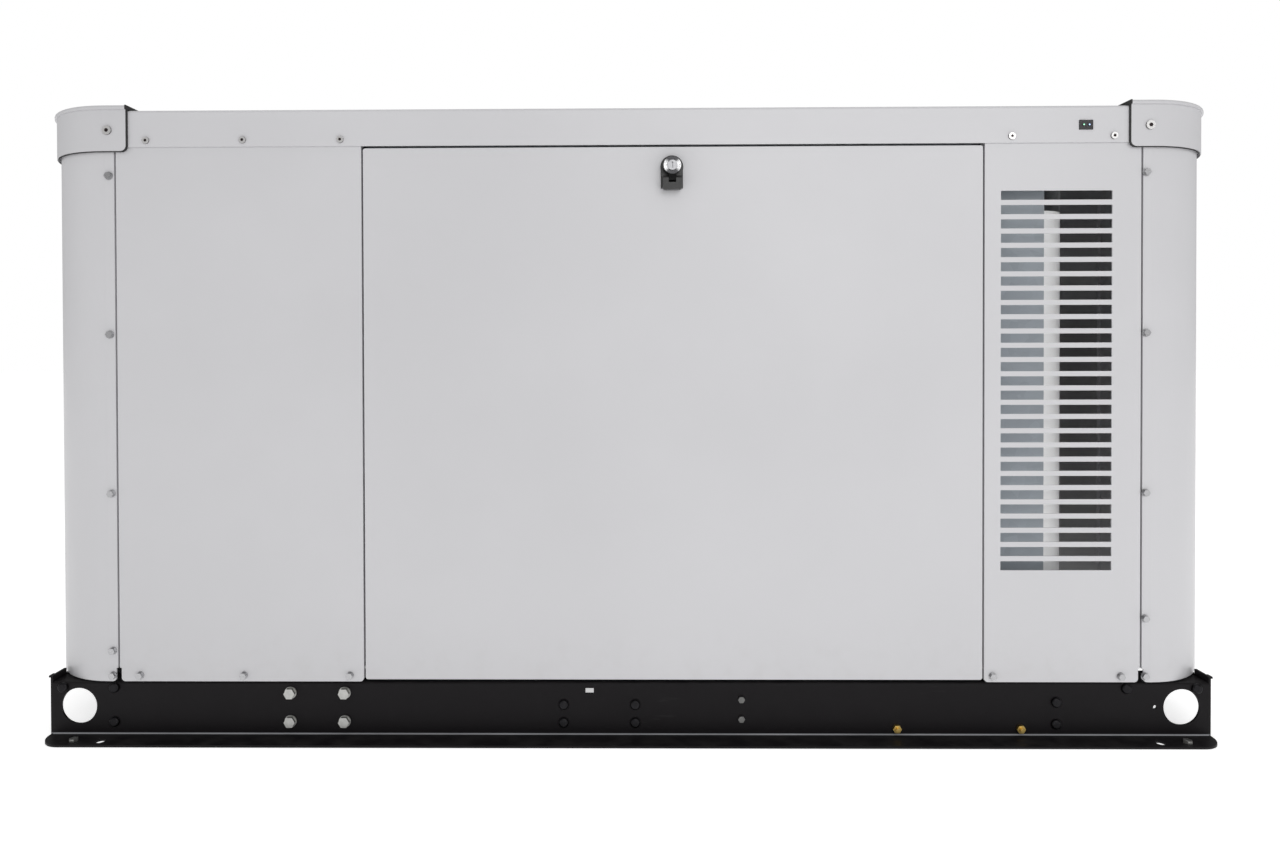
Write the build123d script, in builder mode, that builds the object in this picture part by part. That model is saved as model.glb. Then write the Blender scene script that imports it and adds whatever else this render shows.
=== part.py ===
"""Home standby generator: a liquid-cooled engine and alternator on a steel base, in a sheet-metal enclosure.

Row frame, millimetres: +X to the right of the service door side, -Y is the door side, +Z up.
The origin is on the ground, under the middle of the base.
"""

import os

from build123d import *

# ---- Driving dimensions -------------------------------------------------------------------------
BASE_HALF = 775.0  # half the length of the base frame
RAIL_Y = 339.0  # outer face of the rails' webs
RAIL_TOP = 73.0
RAIL_T = 3.0
FLANGE_REACH = 32.0  # how far the bottom flange stands out of the web
FLANGE_CORNER = 28.0
LIFT_X, LIFT_Z, LIFT_R = 736.5, 41.0, 24.0
ANCHOR_X, ANCHOR_Y, ANCHOR_R = 696.0, 359.0, 6.0

SKIN_Y = 341.0  # outer face of the front and rear panels
SKIN_T = 2.0
GAP = 2.6  # joint between two panels
PANEL_BOTTOM, PANEL_TOP = 75.0, 815.0
HOOD_BOTTOM, ROOF_TOP = 789.0, 838.0
POST_X = 681.0  # joint between a corner post and its neighbour
ARC_X, ARC_R = 694.0, 109.0  # where a post starts to turn, and its outer radius
END_X = ARC_X + ARC_R  # outer face of the end panels
ARC_Y = SKIN_Y - ARC_R
POST_END_Y = 218.4
RETURN = 15.0  # depth of the folded edges of the panels

DOOR_X0, DOOR_X1 = -350.5, 473.0  # centres of the joints beside the door
DOOR_Z0, DOOR_Z1 = 78.0, 786.3
DOOR_RETURN = 22.0
DOOR_FOLD_T = 1.8
PIVOT_Y, PIVOT_Z, PIVOT_R = -333.0, 92.0, 4.0
FIT = 0.05  # radial clearance of a shaft in its hole

CAP_PROUD, CAP_T, CAP_BOTTOM, CAP_TOP = 5.0, 2.4, 783.5, 844.0
CAP_X = 663.5  # inner edge of a corner cap
CAP_Y = ARC_Y - (ARC_X - CAP_X)
RIM_PROUD = 7.5
CAP_CORNER_R = 7.0
ROOF_PROUD = 2.4

SLOT_X0, SLOT_X1 = 495.5, 642.0  # the louvre slots of the discharge panels
SLOT_Z0, SLOT_Z1 = 223.8, 726.5
SLOT_H, SLOT_COUNT = 12.2, 27

LATCH_X, LATCH_Z = 61.0, 759.0

CRANK_Z = 270.0
FAN_Z = 430.0
CRANK_PULLEY_R, FAN_PULLEY_R = 66.0, 60.0
PULLEY_X0, PULLEY_X1 = 320.0, 344.0
BLOCK_X0, BLOCK_X1 = -60.0, 290.0
BLOCK_Z0, BLOCK_Z1 = 215.0, 480.0
BORE_R, BORE_PITCH = 37.0, 84.0
MAIN_R, CRANK_THROW, CRANK_PIN_R = 26.0, 36.0, 21.0
ALT_R, ALT_T = 165.0, 10.0
ALT_X0, ALT_X1 = -425.0, -80.0
ROTOR_R, STATOR_R = 96.0, 98.0

BULKHEAD_X = 480.0
RADIATOR_HALF_Y, RADIATOR_Z0, RADIATOR_Z1 = 240.0, 190.0, 650.0
BELT_T = 5.0

os.makedirs("parts", exist_ok=True)


# ---- Helpers ------------------------------------------------------------------------------------
def finish(part, name):
    """Labels a finished piece and writes its STEP file."""
    part.label = name
    export_step(part, f"parts/{name}.step")


def block(x0, x1, y0, y1, z0, z1, mode=Mode.ADD):
    """A box between two corners, in the part being built."""
    with Locations(((x0 + x1) / 2, (y0 + y1) / 2, (z0 + z1) / 2)):
        Box(abs(x1 - x0), abs(y1 - y0), abs(z1 - z0), mode=mode)


def rod_x(x0, x1, y, z, r, mode=Mode.ADD):
    """A round bar along X."""
    with Locations(Location(((x0 + x1) / 2, y, z), (0, 90, 0))):
        Cylinder(r, abs(x1 - x0), mode=mode)


def rod_y(x, y0, y1, z, r, mode=Mode.ADD):
    """A round bar along Y."""
    with Locations(Location((x, (y0 + y1) / 2, z), (90, 0, 0))):
        Cylinder(r, abs(y1 - y0), mode=mode)


def rod_z(x, y, z0, z1, r, mode=Mode.ADD):
    """A round bar along Z."""
    with Locations((x, y, (z0 + z1) / 2)):
        Cylinder(r, abs(z1 - z0), mode=mode)


def round_corner(y, x, z, r, turn_x, turn_z):
    """Cuts a radius on the corner of an upright sheet: turn_x and turn_z point from the corner into it."""
    with BuildSketch(Plane.XZ.offset(-y)) as spandrel:
        with Locations((x + turn_x * r / 2, z + turn_z * r / 2)):
            Rectangle(r, r)
        with Locations((x + turn_x * r, z + turn_z * r)):
            Circle(r, mode=Mode.SUBTRACT)
    extrude(spandrel.sketch, amount=RETURN * 2, both=True, mode=Mode.SUBTRACT)


def tube(points, radii, r):
    """A round bar that follows straight runs joined by arcs."""
    with BuildLine() as path:
        FilletPolyline(*points, radius=radii)
    start = path.line @ 0
    with BuildSketch(Plane(origin=start, z_dir=path.line % 0)) as section:
        Circle(r)
    sweep(section.sketch, path=path.line)


def panel(x0, x1, side, z0=PANEL_BOTTOM, z1=PANEL_TOP):
    """A front (side -1) or rear (side 1) panel: a sheet with folded side and bottom edges."""
    face, inner = side * SKIN_Y, side * (SKIN_Y - SKIN_T)
    edge = side * (SKIN_Y - RETURN)
    block(x0, x1, face, inner, z0, z1)
    block(x0, x0 + SKIN_T, inner, edge, z0, z1)
    block(x1 - SKIN_T, x1, inner, edge, z0, z1)
    block(x0, x1, inner, side * (SKIN_Y - 2 * RETURN), z0, z0 + SKIN_T)


def louvres(x0, x1, side, z0, z1, height, count):
    """A column of level slots through a front or rear panel."""
    pitch = (z1 - z0 - height) / (count - 1)
    with BuildSketch(Plane.XZ.offset(-side * SKIN_Y)) as slots:
        with Locations(((x0 + x1) / 2, (z0 + z1) / 2)):
            with GridLocations(1, pitch, 1, count):
                RectangleRounded(x1 - x0, height, 0.8)
    extrude(slots.sketch, amount=SKIN_T * 2, both=True, mode=Mode.SUBTRACT)


# ---- Base frame ---------------------------------------------------------------------------------
DATUM_SLOT_X, DATUM_SLOT_Z = -50.0, 62.0
PILOT_X, PILOT_Z, PILOT_R = 701.4, 41.0, 2.6
TOP_FLANGE = 44.0
rail_half = BASE_HALF - RAIL_T
for side_name, side in (("front", -1), ("rear", 1)):
    with BuildPart() as base_rail:
        inner_y = side * (RAIL_Y - RAIL_T)
        block(-rail_half, rail_half, side * RAIL_Y, inner_y, 0, RAIL_TOP)
        block(-BASE_HALF, BASE_HALF, side * (RAIL_Y + FLANGE_REACH), side * RAIL_Y, 0, RAIL_T)
        block(-rail_half, rail_half, inner_y, side * (RAIL_Y - TOP_FLANGE), RAIL_TOP - RAIL_T, RAIL_TOP)
        bend = base_rail.edges().filter_by(Axis.X).sort_by_distance((0, side * RAIL_Y, RAIL_T))[0]
        fillet(bend, 2.0)
        shoulder = base_rail.edges().filter_by(Axis.X).sort_by_distance((0, side * RAIL_Y, RAIL_TOP))[0]
        fillet(shoulder, 2.5)
        corners = base_rail.edges().filter_by(Axis.Z).group_by(Axis.Y)[0 if side < 0 else -1]
        fillet(corners, FLANGE_CORNER)
        for end in (-1, 1):
            rod_y(end * LIFT_X, side * (RAIL_Y - 20), side * (RAIL_Y + 20), LIFT_Z, LIFT_R, Mode.SUBTRACT)
            rod_z(end * ANCHOR_X, side * ANCHOR_Y, -1, RAIL_T + 1, ANCHOR_R, Mode.SUBTRACT)
        if side < 0:
            rod_y(PILOT_X, -RAIL_Y - 5, -RAIL_Y + 5, PILOT_Z, PILOT_R, Mode.SUBTRACT)
            block(DATUM_SLOT_X - 5.5, DATUM_SLOT_X + 5.5, -RAIL_Y - 5, -RAIL_Y + 5,
                  DATUM_SLOT_Z - 3.5, DATUM_SLOT_Z + 3.5, Mode.SUBTRACT)
    finish(base_rail.part, f"base_rail_{side_name}")

END_PLATE_TOP, EAR_TOP, EAR_Y = 74.5, 81.5, 310.5
WINDOW_Y0, WINDOW_Y1, WINDOW_TOP = 165.0, 328.0, 64.0  # the end plates' lifting windows, open at the ground
MEMBERS = ((-414.7, 100.0), (-37.0, 120.0), (270.0, 80.0), (570.4, 60.0))  # centre X and width
MEMBER_Z0, MEMBER_Z1, MEMBER_HALF_Y = 8.0, 68.0, RAIL_Y - RAIL_T
with BuildPart() as end_plate_tops:
    for end in (-1, 1):
        outer = end * BASE_HALF
        block(end * rail_half, outer, -RAIL_Y, RAIL_Y, WINDOW_TOP, END_PLATE_TOP)
        for side in (-1, 1):
            block(end * rail_half, outer, side * EAR_Y, side * RAIL_Y, END_PLATE_TOP, EAR_TOP)
            block(outer, outer + end * 2.4, side * (RAIL_Y - 9), side * RAIL_Y, EAR_TOP - 2.5, EAR_TOP)
with BuildPart() as end_plate_legs:
    for end in (-1, 1):
        block(end * rail_half, end * BASE_HALF, -WINDOW_Y0, WINDOW_Y0, 0, WINDOW_TOP)
        for side in (-1, 1):
            block(end * rail_half, end * BASE_HALF, side * WINDOW_Y1, side * RAIL_Y, 0, WINDOW_TOP)
with BuildPart() as cross_members:
    for x, width in MEMBERS:
        block(x - width / 2, x + width / 2, -MEMBER_HALF_Y, MEMBER_HALF_Y, MEMBER_Z0, MEMBER_Z1)
        block(x - width / 2 + RAIL_T, x + width / 2 - RAIL_T, -MEMBER_HALF_Y - 1, MEMBER_HALF_Y + 1,
              MEMBER_Z0 - 1, MEMBER_Z1 - RAIL_T, Mode.SUBTRACT)
welded = [solid for group in (end_plate_tops, end_plate_legs, cross_members) for solid in group.part.solids()]
finish(Compound(welded), "base_cross_members")

HEX_BOLTS = ((-451.0, 59.3), (-378.2, 59.3), (-451.0, 21.0), (-378.2, 21.0))
DOME_BOLTS = ((-84.7, 43.6), (10.9, 43.6), (-84.7, 19.6), (10.9, 19.6), (570.4, 47.4), (570.4, 18.2),
              (663.1, 66.0), (756.0, 66.0), (-688.4, 66.0), (-688.4, 19.7), (-757.6, 66.0))
STUDS = ((152.4, 51.0), (152.4, 24.8))
BRASS_SCREWS = ((359.0, 12.5), (523.0, 12.5))
FLANGE_BOLT_X = 731.5
with BuildPart() as frame_bolts:
    with BuildSketch(Plane.XZ.offset(RAIL_Y)):
        with Locations(*HEX_BOLTS):
            Circle(8.0)
    extrude(amount=1.2)
    with BuildSketch(Plane.XZ.offset(RAIL_Y + 1.2)):
        with Locations(*HEX_BOLTS):
            RegularPolygon(6.5, 6, major_radius=False)
    extrude(amount=5.3)
    with BuildSketch(Plane.XZ.offset(RAIL_Y)):
        with Locations(*DOME_BOLTS):
            Circle(6.8)
    domes = extrude(amount=4.0)
    fillet(domes.edges().group_by(Axis.Y)[0], 2.8)
    with BuildSketch(Plane.XZ.offset(RAIL_Y)):
        with Locations(*STUDS):
            RegularPolygon(4.0, 6, major_radius=False)
    extrude(amount=3.2)
    with BuildSketch(Plane.XZ.offset(RAIL_Y)):
        with Locations(*BRASS_SCREWS):
            RegularPolygon(5.0, 6, major_radius=False)
    extrude(amount=4.5)
    with BuildSketch(Plane.XZ.offset(RAIL_Y + 4.5)):
        with Locations(*BRASS_SCREWS):
            Circle(2.6)
    extrude(amount=3.0)
    with BuildSketch(Plane.XY.offset(RAIL_T)):
        with Locations((-FLANGE_BOLT_X, -ANCHOR_Y), (FLANGE_BOLT_X, -ANCHOR_Y)):
            RegularPolygon(5.0, 6, major_radius=False)
    extrude(amount=3.6)
    mirror(about=Plane.XZ)
finish(frame_bolts.part, "frame_bolts")

# ---- Enclosure ----------------------------------------------------------------------------------
POST_NOTCH_W, POST_NOTCH_H, CORNER_R = 2.2, 18.0, 5.0
start = POST_X + GAP / 2
with BuildPart() as corner_posts:
    with BuildSketch(Plane.XY.offset(PANEL_BOTTOM)):
        with BuildLine():
            Line((start, -SKIN_Y), (ARC_X, -SKIN_Y))
            RadiusArc((ARC_X, -SKIN_Y), (END_X, -ARC_Y), -ARC_R)
            Polyline((END_X, -ARC_Y), (END_X, -POST_END_Y), (END_X - RETURN, -POST_END_Y),
                     (END_X - RETURN, -POST_END_Y - SKIN_T), (END_X - SKIN_T, -POST_END_Y - SKIN_T),
                     (END_X - SKIN_T, -ARC_Y))
            RadiusArc((END_X - SKIN_T, -ARC_Y), (ARC_X, -SKIN_Y + SKIN_T), ARC_R - SKIN_T)
            Polyline((ARC_X, -SKIN_Y + SKIN_T), (start + SKIN_T, -SKIN_Y + SKIN_T),
                     (start + SKIN_T, -SKIN_Y + RETURN), (start, -SKIN_Y + RETURN), (start, -SKIN_Y))
        make_face()
    extrude(amount=PANEL_TOP - PANEL_BOTTOM)
    block(start - 1, start + POST_NOTCH_W, -SKIN_Y - 1, -SKIN_Y + RETURN + 1,
          PANEL_BOTTOM - 1, PANEL_BOTTOM + POST_NOTCH_H, Mode.SUBTRACT)
    round_corner(-SKIN_Y, start + POST_NOTCH_W, PANEL_BOTTOM, CORNER_R, 1, 1)
    mirror(about=Plane.YZ)
    mirror(about=Plane.XZ)
finish(corner_posts.part, "corner_posts")

wall_r, rim_r = ARC_R + CAP_PROUD, ARC_R + RIM_PROUD
with BuildPart() as corner_caps:
    with BuildSketch(Plane.XY.offset(CAP_BOTTOM)):
        with BuildLine():
            Line((CAP_X, -SKIN_Y - CAP_PROUD), (ARC_X, -SKIN_Y - CAP_PROUD))
            RadiusArc((ARC_X, -SKIN_Y - CAP_PROUD), (END_X + CAP_PROUD, -ARC_Y), -wall_r)
            Polyline((END_X + CAP_PROUD, -ARC_Y), (END_X + CAP_PROUD, -CAP_Y),
                     (END_X + CAP_PROUD - CAP_T, -CAP_Y), (END_X + CAP_PROUD - CAP_T, -ARC_Y))
            RadiusArc((END_X + CAP_PROUD - CAP_T, -ARC_Y), (ARC_X, -SKIN_Y - CAP_PROUD + CAP_T),
                      wall_r - CAP_T)
            Polyline((ARC_X, -SKIN_Y - CAP_PROUD + CAP_T), (CAP_X, -SKIN_Y - CAP_PROUD + CAP_T),
                     (CAP_X, -SKIN_Y - CAP_PROUD))
        make_face()
    extrude(amount=CAP_TOP - CAP_BOTTOM - 5)
    round_corner(-SKIN_Y, CAP_X, CAP_BOTTOM, CAP_CORNER_R, 1, 1)
    with BuildSketch(Plane.XY.offset(CAP_TOP - 5.6)):
        with BuildLine():
            Line((CAP_X, -SKIN_Y - RIM_PROUD), (ARC_X, -SKIN_Y - RIM_PROUD))
            RadiusArc((ARC_X, -SKIN_Y - RIM_PROUD), (END_X + RIM_PROUD, -ARC_Y), -rim_r)
            Polyline((END_X + RIM_PROUD, -ARC_Y), (END_X + RIM_PROUD, -CAP_Y), (CAP_X, -CAP_Y),
                     (CAP_X, -SKIN_Y - RIM_PROUD))
        make_face()
    extrude(amount=5.6)
    top_edges = corner_caps.faces().sort_by(Axis.Z)[-1].edges()
    rounded = [e for e in top_edges if e.center().Y < -CAP_Y - 5 and e.center().X > CAP_X + 5]
    rounded += [e for e in top_edges if e.center().X > END_X]
    fillet(ShapeList(dict.fromkeys(rounded)), 3.6)
    mirror(about=Plane.XZ)
    mirror(about=Plane.YZ)
finish(corner_caps.part, "corner_caps")

TRIM_W, TRIM_BELOW, TRIM_T = 1.8, 1.2, 1.3
trim_back, trim_front = CAP_PROUD - CAP_T, CAP_PROUD - CAP_T + TRIM_T
with BuildPart() as cap_trims:
    block(CAP_X - TRIM_W, CAP_X, -SKIN_Y - CAP_PROUD, -SKIN_Y - trim_back,
          CAP_BOTTOM - TRIM_BELOW, CAP_TOP - 5.6)
    block(CAP_X - TRIM_W, CAP_X, -SKIN_Y - RIM_PROUD, -CAP_Y + TRIM_W, CAP_TOP - 5.6, CAP_TOP)
    block(CAP_X, END_X + RIM_PROUD, -CAP_Y, -CAP_Y + TRIM_W, CAP_TOP - 5.6, CAP_TOP)
    block(END_X + trim_back, END_X + CAP_PROUD, -CAP_Y, -CAP_Y + TRIM_W,
          CAP_BOTTOM - TRIM_BELOW, CAP_TOP - 5.6)
    with BuildSketch(Plane.XY.offset(CAP_BOTTOM - TRIM_BELOW)):
        with BuildLine():
            Line((CAP_X, -SKIN_Y - trim_front), (ARC_X, -SKIN_Y - trim_front))
            RadiusArc((ARC_X, -SKIN_Y - trim_front), (END_X + trim_front, -ARC_Y), -(ARC_R + trim_front))
            Polyline((END_X + trim_front, -ARC_Y), (END_X + trim_front, -CAP_Y),
                     (END_X + trim_back, -CAP_Y), (END_X + trim_back, -ARC_Y))
            RadiusArc((END_X + trim_back, -ARC_Y), (ARC_X, -SKIN_Y - trim_back), ARC_R + trim_back)
            Polyline((ARC_X, -SKIN_Y - trim_back), (CAP_X, -SKIN_Y - trim_back),
                     (CAP_X, -SKIN_Y - trim_front))
        make_face()
    extrude(amount=TRIM_BELOW)
    with BuildSketch(Plane.XZ.offset(SKIN_Y + trim_back)) as corner_fill:
        with Locations((CAP_X + CAP_CORNER_R / 2, CAP_BOTTOM + CAP_CORNER_R / 2)):
            Rectangle(CAP_CORNER_R, CAP_CORNER_R)
        with Locations((CAP_X + CAP_CORNER_R, CAP_BOTTOM + CAP_CORNER_R)):
            Circle(CAP_CORNER_R, mode=Mode.SUBTRACT)
    extrude(corner_fill.sketch, amount=CAP_T)
    round_corner(-SKIN_Y, CAP_X - TRIM_W, CAP_BOTTOM - TRIM_BELOW, CAP_CORNER_R + TRIM_BELOW, 1, 1)
    mirror(about=Plane.XZ)
    mirror(about=Plane.YZ)
finish(cap_trims.part, "cap_trims")

STATUS_X, STATUS_Z, STATUS_W, STATUS_H = 605.5, 812.0, 18.0, 12.6
roof_half_x, roof_half_y = END_X + ROOF_PROUD, SKIN_Y + ROOF_PROUD
roof_r = ARC_R + ROOF_PROUD
with BuildPart() as roof_panel:
    with BuildSketch(Plane.XY.offset(HOOD_BOTTOM)):
        RectangleRounded(2 * roof_half_x, 2 * roof_half_y, roof_r)
    extrude(amount=ROOF_TOP - HOOD_BOTTOM)
    fillet(roof_panel.faces().sort_by(Axis.Z)[-1].edges(), 4.0)
    with BuildSketch(Plane.XY.offset(HOOD_BOTTOM)):
        RectangleRounded(2 * (roof_half_x - SKIN_T), 2 * (roof_half_y - SKIN_T), roof_r - SKIN_T)
    extrude(amount=ROOF_TOP - HOOD_BOTTOM - SKIN_T, mode=Mode.SUBTRACT)
    block(STATUS_X - STATUS_W / 2 + 1.5, STATUS_X + STATUS_W / 2 - 1.5, -roof_half_y - 1, -roof_half_y + 3,
          STATUS_Z - STATUS_H / 2 + 1.5, STATUS_Z + STATUS_H / 2 - 1.5, Mode.SUBTRACT)
finish(roof_panel.part, "roof_panel")

left_panel = (-POST_X + GAP / 2, DOOR_X0 - GAP / 2)
centre_panel = (DOOR_X0 + GAP / 2, DOOR_X1 - GAP / 2)
right_panel = (DOOR_X1 + GAP / 2, POST_X - GAP / 2)
with BuildPart() as left_front_panel:
    panel(*left_panel, -1)
    block(left_panel[0] - 1, left_panel[0] + POST_NOTCH_W, -SKIN_Y - 1, -SKIN_Y + 2 * RETURN + 1,
          PANEL_BOTTOM - 1, PANEL_BOTTOM + POST_NOTCH_H, Mode.SUBTRACT)
    round_corner(-SKIN_Y, left_panel[0] + POST_NOTCH_W, PANEL_BOTTOM, CORNER_R, 1, 1)
    round_corner(-SKIN_Y, left_panel[1], PANEL_BOTTOM, CORNER_R, -1, 1)
    rod_x(left_panel[1] - 2 * SKIN_T, left_panel[1] + 1, PIVOT_Y, PIVOT_Z, PIVOT_R, Mode.SUBTRACT)
finish(left_front_panel.part, "left_front_panel")

with BuildPart() as front_louvre_panel:
    panel(*right_panel, -1)
    louvres(SLOT_X0, SLOT_X1, -1, SLOT_Z0, SLOT_Z1, SLOT_H, SLOT_COUNT)
    block(right_panel[1] - POST_NOTCH_W, right_panel[1] + 1, -SKIN_Y - 1, -SKIN_Y + 2 * RETURN + 1,
          PANEL_BOTTOM - 1, PANEL_BOTTOM + POST_NOTCH_H, Mode.SUBTRACT)
    round_corner(-SKIN_Y, right_panel[1] - POST_NOTCH_W, PANEL_BOTTOM, CORNER_R, -1, 1)
    round_corner(-SKIN_Y, right_panel[0], PANEL_BOTTOM, CORNER_R, 1, 1)
    rod_x(right_panel[0] - 1, right_panel[0] + 2 * SKIN_T, PIVOT_Y, PIVOT_Z, PIVOT_R, Mode.SUBTRACT)
finish(front_louvre_panel.part, "front_louvre_panel")

GAS_X, GAS_Z, GAS_R = -560.0, 150.0, 13.35
with BuildPart() as rear_intake_panel:
    panel(*left_panel, 1)
    louvres(-630.0, -400.0, 1, 330.0, 726.5, SLOT_H, 21)
    rod_y(GAS_X, SKIN_Y - 5, SKIN_Y + 5, GAS_Z, GAS_R + 4, Mode.SUBTRACT)
finish(rear_intake_panel.part, "rear_intake_panel")

with BuildPart() as rear_centre_panel:
    panel(*centre_panel, 1)
finish(rear_centre_panel.part, "rear_centre_panel")

with BuildPart() as rear_louvre_panel:
    panel(*right_panel, 1)
    louvres(SLOT_X0, SLOT_X1, 1, SLOT_Z0, SLOT_Z1, SLOT_H, SLOT_COUNT)
finish(rear_louvre_panel.part, "rear_louvre_panel")

END_PANEL_HALF = POST_END_Y - GAP
for end_name, end in (("left", -1), ("right", 1)):
    with BuildPart() as end_panel:
        outer, inner = end * END_X, end * (END_X - SKIN_T)
        block(outer, inner, -END_PANEL_HALF, END_PANEL_HALF, PANEL_BOTTOM, PANEL_TOP)
        for side in (-1, 1):
            block(inner, end * (END_X - RETURN), side * END_PANEL_HALF, side * (END_PANEL_HALF - SKIN_T),
                  PANEL_BOTTOM, PANEL_TOP)
        block(inner, end * (END_X - RETURN), -END_PANEL_HALF, END_PANEL_HALF,
              PANEL_BOTTOM, PANEL_BOTTOM + SKIN_T)
        if end < 0:
            with BuildSketch(Plane.YZ.offset(outer)):
                with Locations((0, 525.0)):
                    with GridLocations(1, 19.1, 1, 21):
                        RectangleRounded(280.0, SLOT_H, 0.8)
            extrude(amount=SKIN_T * 2, both=True, mode=Mode.SUBTRACT)
        else:
            block(inner, inner - 6, -30, -27, 120, 760)
    finish(end_panel.part, f"{end_name}_end_panel")

STOP_Y, STOP_Z0, HEADER_BOTTOM, FRAME_TOP = 317.0, 116.0, 772.0, 834.0
JAMB_X0, JAMB_X1 = -395.0, -357.0
with BuildPart() as door_frame:
    block(JAMB_X0, JAMB_X1, -STOP_Y - 7, -STOP_Y + 30, PANEL_BOTTOM + SKIN_T, FRAME_TOP)
    block(JAMB_X0 + SKIN_T, JAMB_X1 - SKIN_T, -STOP_Y - 5, -STOP_Y + 31, PANEL_BOTTOM, FRAME_TOP + 1,
          Mode.SUBTRACT)
    block(JAMB_X1, DOOR_X0 + 20, -STOP_Y, -STOP_Y + SKIN_T, STOP_Z0, FRAME_TOP)
    block(DOOR_X0 + 20, BULKHEAD_X - 24, -STOP_Y, -STOP_Y + SKIN_T, HEADER_BOTTOM, FRAME_TOP)
    block(JAMB_X1, BULKHEAD_X, -STOP_Y + SKIN_T, -STOP_Y + 30, FRAME_TOP - SKIN_T, FRAME_TOP)
    block(BULKHEAD_X - 24, BULKHEAD_X, -STOP_Y, -STOP_Y + SKIN_T, STOP_Z0, FRAME_TOP)
finish(door_frame.part, "door_frame")

PIN_REACH = 11.0
with BuildPart() as door_pivot_pins:
    rod_x(left_panel[1] - SKIN_T, left_panel[1] + PIN_REACH, PIVOT_Y, PIVOT_Z, PIVOT_R)
    rod_x(left_panel[1] - SKIN_T - 2.5, left_panel[1] - SKIN_T, PIVOT_Y, PIVOT_Z, 5.5)
    rod_x(right_panel[0] - PIN_REACH, right_panel[0] + SKIN_T, PIVOT_Y, PIVOT_Z, PIVOT_R)
    rod_x(right_panel[0] + SKIN_T, right_panel[0] + SKIN_T + 2.5, PIVOT_Y, PIVOT_Z, 5.5)
finish(door_pivot_pins.part, "door_pivot_pins")

# Screws of the enclosure: hexagon washer heads on the posts and panel feet, socket buttons on the roof.
POST_SCREW_LEFT_X, POST_SCREW_RIGHT_X = -689.0, 686.0
POST_SCREWS_LEFT, POST_SCREWS_RIGHT = (751.5, 540.0, 327.0, 116.0, 83.0), (750.0, 538.5, 327.0, 160.0, 83.5)
FOOT_SCREWS = (-652.7, -512.9, -370.5, 485.5, 654.6)
FOOT_Z = 83.0
REAR_FOOT_SCREWS = (*FOOT_SCREWS, -200.0, 61.0, 320.0)
ROOF_SCREWS, ROOF_SCREW_Z = (-637.8, -508.7, -378.6, 508.3, 642.3), 797.7
REAR_ROOF_SCREWS = (*ROOF_SCREWS, -200.0, 61.0, 320.0)
CAP_SCREW_X, CAP_SCREW_Z = 688.0, 810.8
front_hexes = [(POST_SCREW_LEFT_X, z) for z in POST_SCREWS_LEFT]
front_hexes += [(POST_SCREW_RIGHT_X, z) for z in POST_SCREWS_RIGHT]
front_hexes += [(x, FOOT_Z) for x in FOOT_SCREWS]
rear_hexes = [(x, z) for x in (POST_SCREW_LEFT_X, POST_SCREW_RIGHT_X) for z in POST_SCREWS_LEFT]
rear_hexes += [(x, FOOT_Z) for x in REAR_FOOT_SCREWS]
END_SCREW_Y = POST_END_Y + 6.5
with BuildPart() as enclosure_screws:
    for side, spots in ((-1, front_hexes), (1, rear_hexes)):
        face = Plane.XZ if side < 0 else Plane.XZ.rotated((180, 0, 0))
        flip = 1 if side < 0 else -1
        spots = [(x, z * flip) for x, z in spots]
        with BuildSketch(face.offset(SKIN_Y)):
            with Locations(*spots):
                Circle(5.4)
        extrude(amount=1.1)
        with BuildSketch(face.offset(SKIN_Y + 1.1)):
            with Locations(*spots):
                RegularPolygon(4.0, 6, major_radius=False)
        extrude(amount=3.6)
    for end in (-1, 1):
        face = Plane.YZ if end > 0 else Plane.YZ.rotated((0, 180, 0))
        spots = [(y, z * end) for y in (-END_SCREW_Y, END_SCREW_Y) for z in POST_SCREWS_LEFT]
        with BuildSketch(face.offset(END_X)):
            with Locations(*spots):
                Circle(5.4)
        extrude(amount=1.1)
        with BuildSketch(face.offset(END_X + 1.1)):
            with Locations(*spots):
                RegularPolygon(4.0, 6, major_radius=False)
        extrude(amount=3.6)
    for side, spots in ((-1, ROOF_SCREWS), (1, REAR_ROOF_SCREWS)):
        face = Plane.XZ if side < 0 else Plane.XZ.rotated((180, 0, 0))
        flip = 1 if side < 0 else -1
        for x, z, radius, start in [(x, ROOF_SCREW_Z, 4.4, SKIN_Y + ROOF_PROUD) for x in spots] + \
                                   [(end * CAP_SCREW_X, CAP_SCREW_Z, 5.8, SKIN_Y + CAP_PROUD) for end in (-1, 1)]:
            with BuildSketch(face.offset(start)):
                with Locations((x, z * flip)):
                    Circle(radius)
            extrude(amount=2.4)
            with BuildSketch(face.offset(start + 1.0)):
                with Locations((x, z * flip)):
                    RegularPolygon(radius * 0.42, 6, major_radius=False)
            extrude(amount=3, mode=Mode.SUBTRACT)
finish(enclosure_screws.part, "enclosure_screws")

with BuildPart() as status_light:
    block(STATUS_X - STATUS_W / 2 + 1.6, STATUS_X + STATUS_W / 2 - 1.6, -roof_half_y, -roof_half_y + 1.8,
          STATUS_Z - STATUS_H / 2 + 1.6, STATUS_Z + STATUS_H / 2 - 1.6)
    block(STATUS_X - STATUS_W / 2, STATUS_X + STATUS_W / 2, -roof_half_y - 1.6, -roof_half_y,
          STATUS_Z - STATUS_H / 2, STATUS_Z + STATUS_H / 2)
    fillet(status_light.faces().sort_by(Axis.Y)[0].edges(), 0.7)
    for x in (STATUS_X - 3.6, STATUS_X + 3.6):
        rod_y(x, -roof_half_y - 2.4, -roof_half_y - 1.6, STATUS_Z, 1.7)
finish(status_light.part, "status_light")

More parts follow.
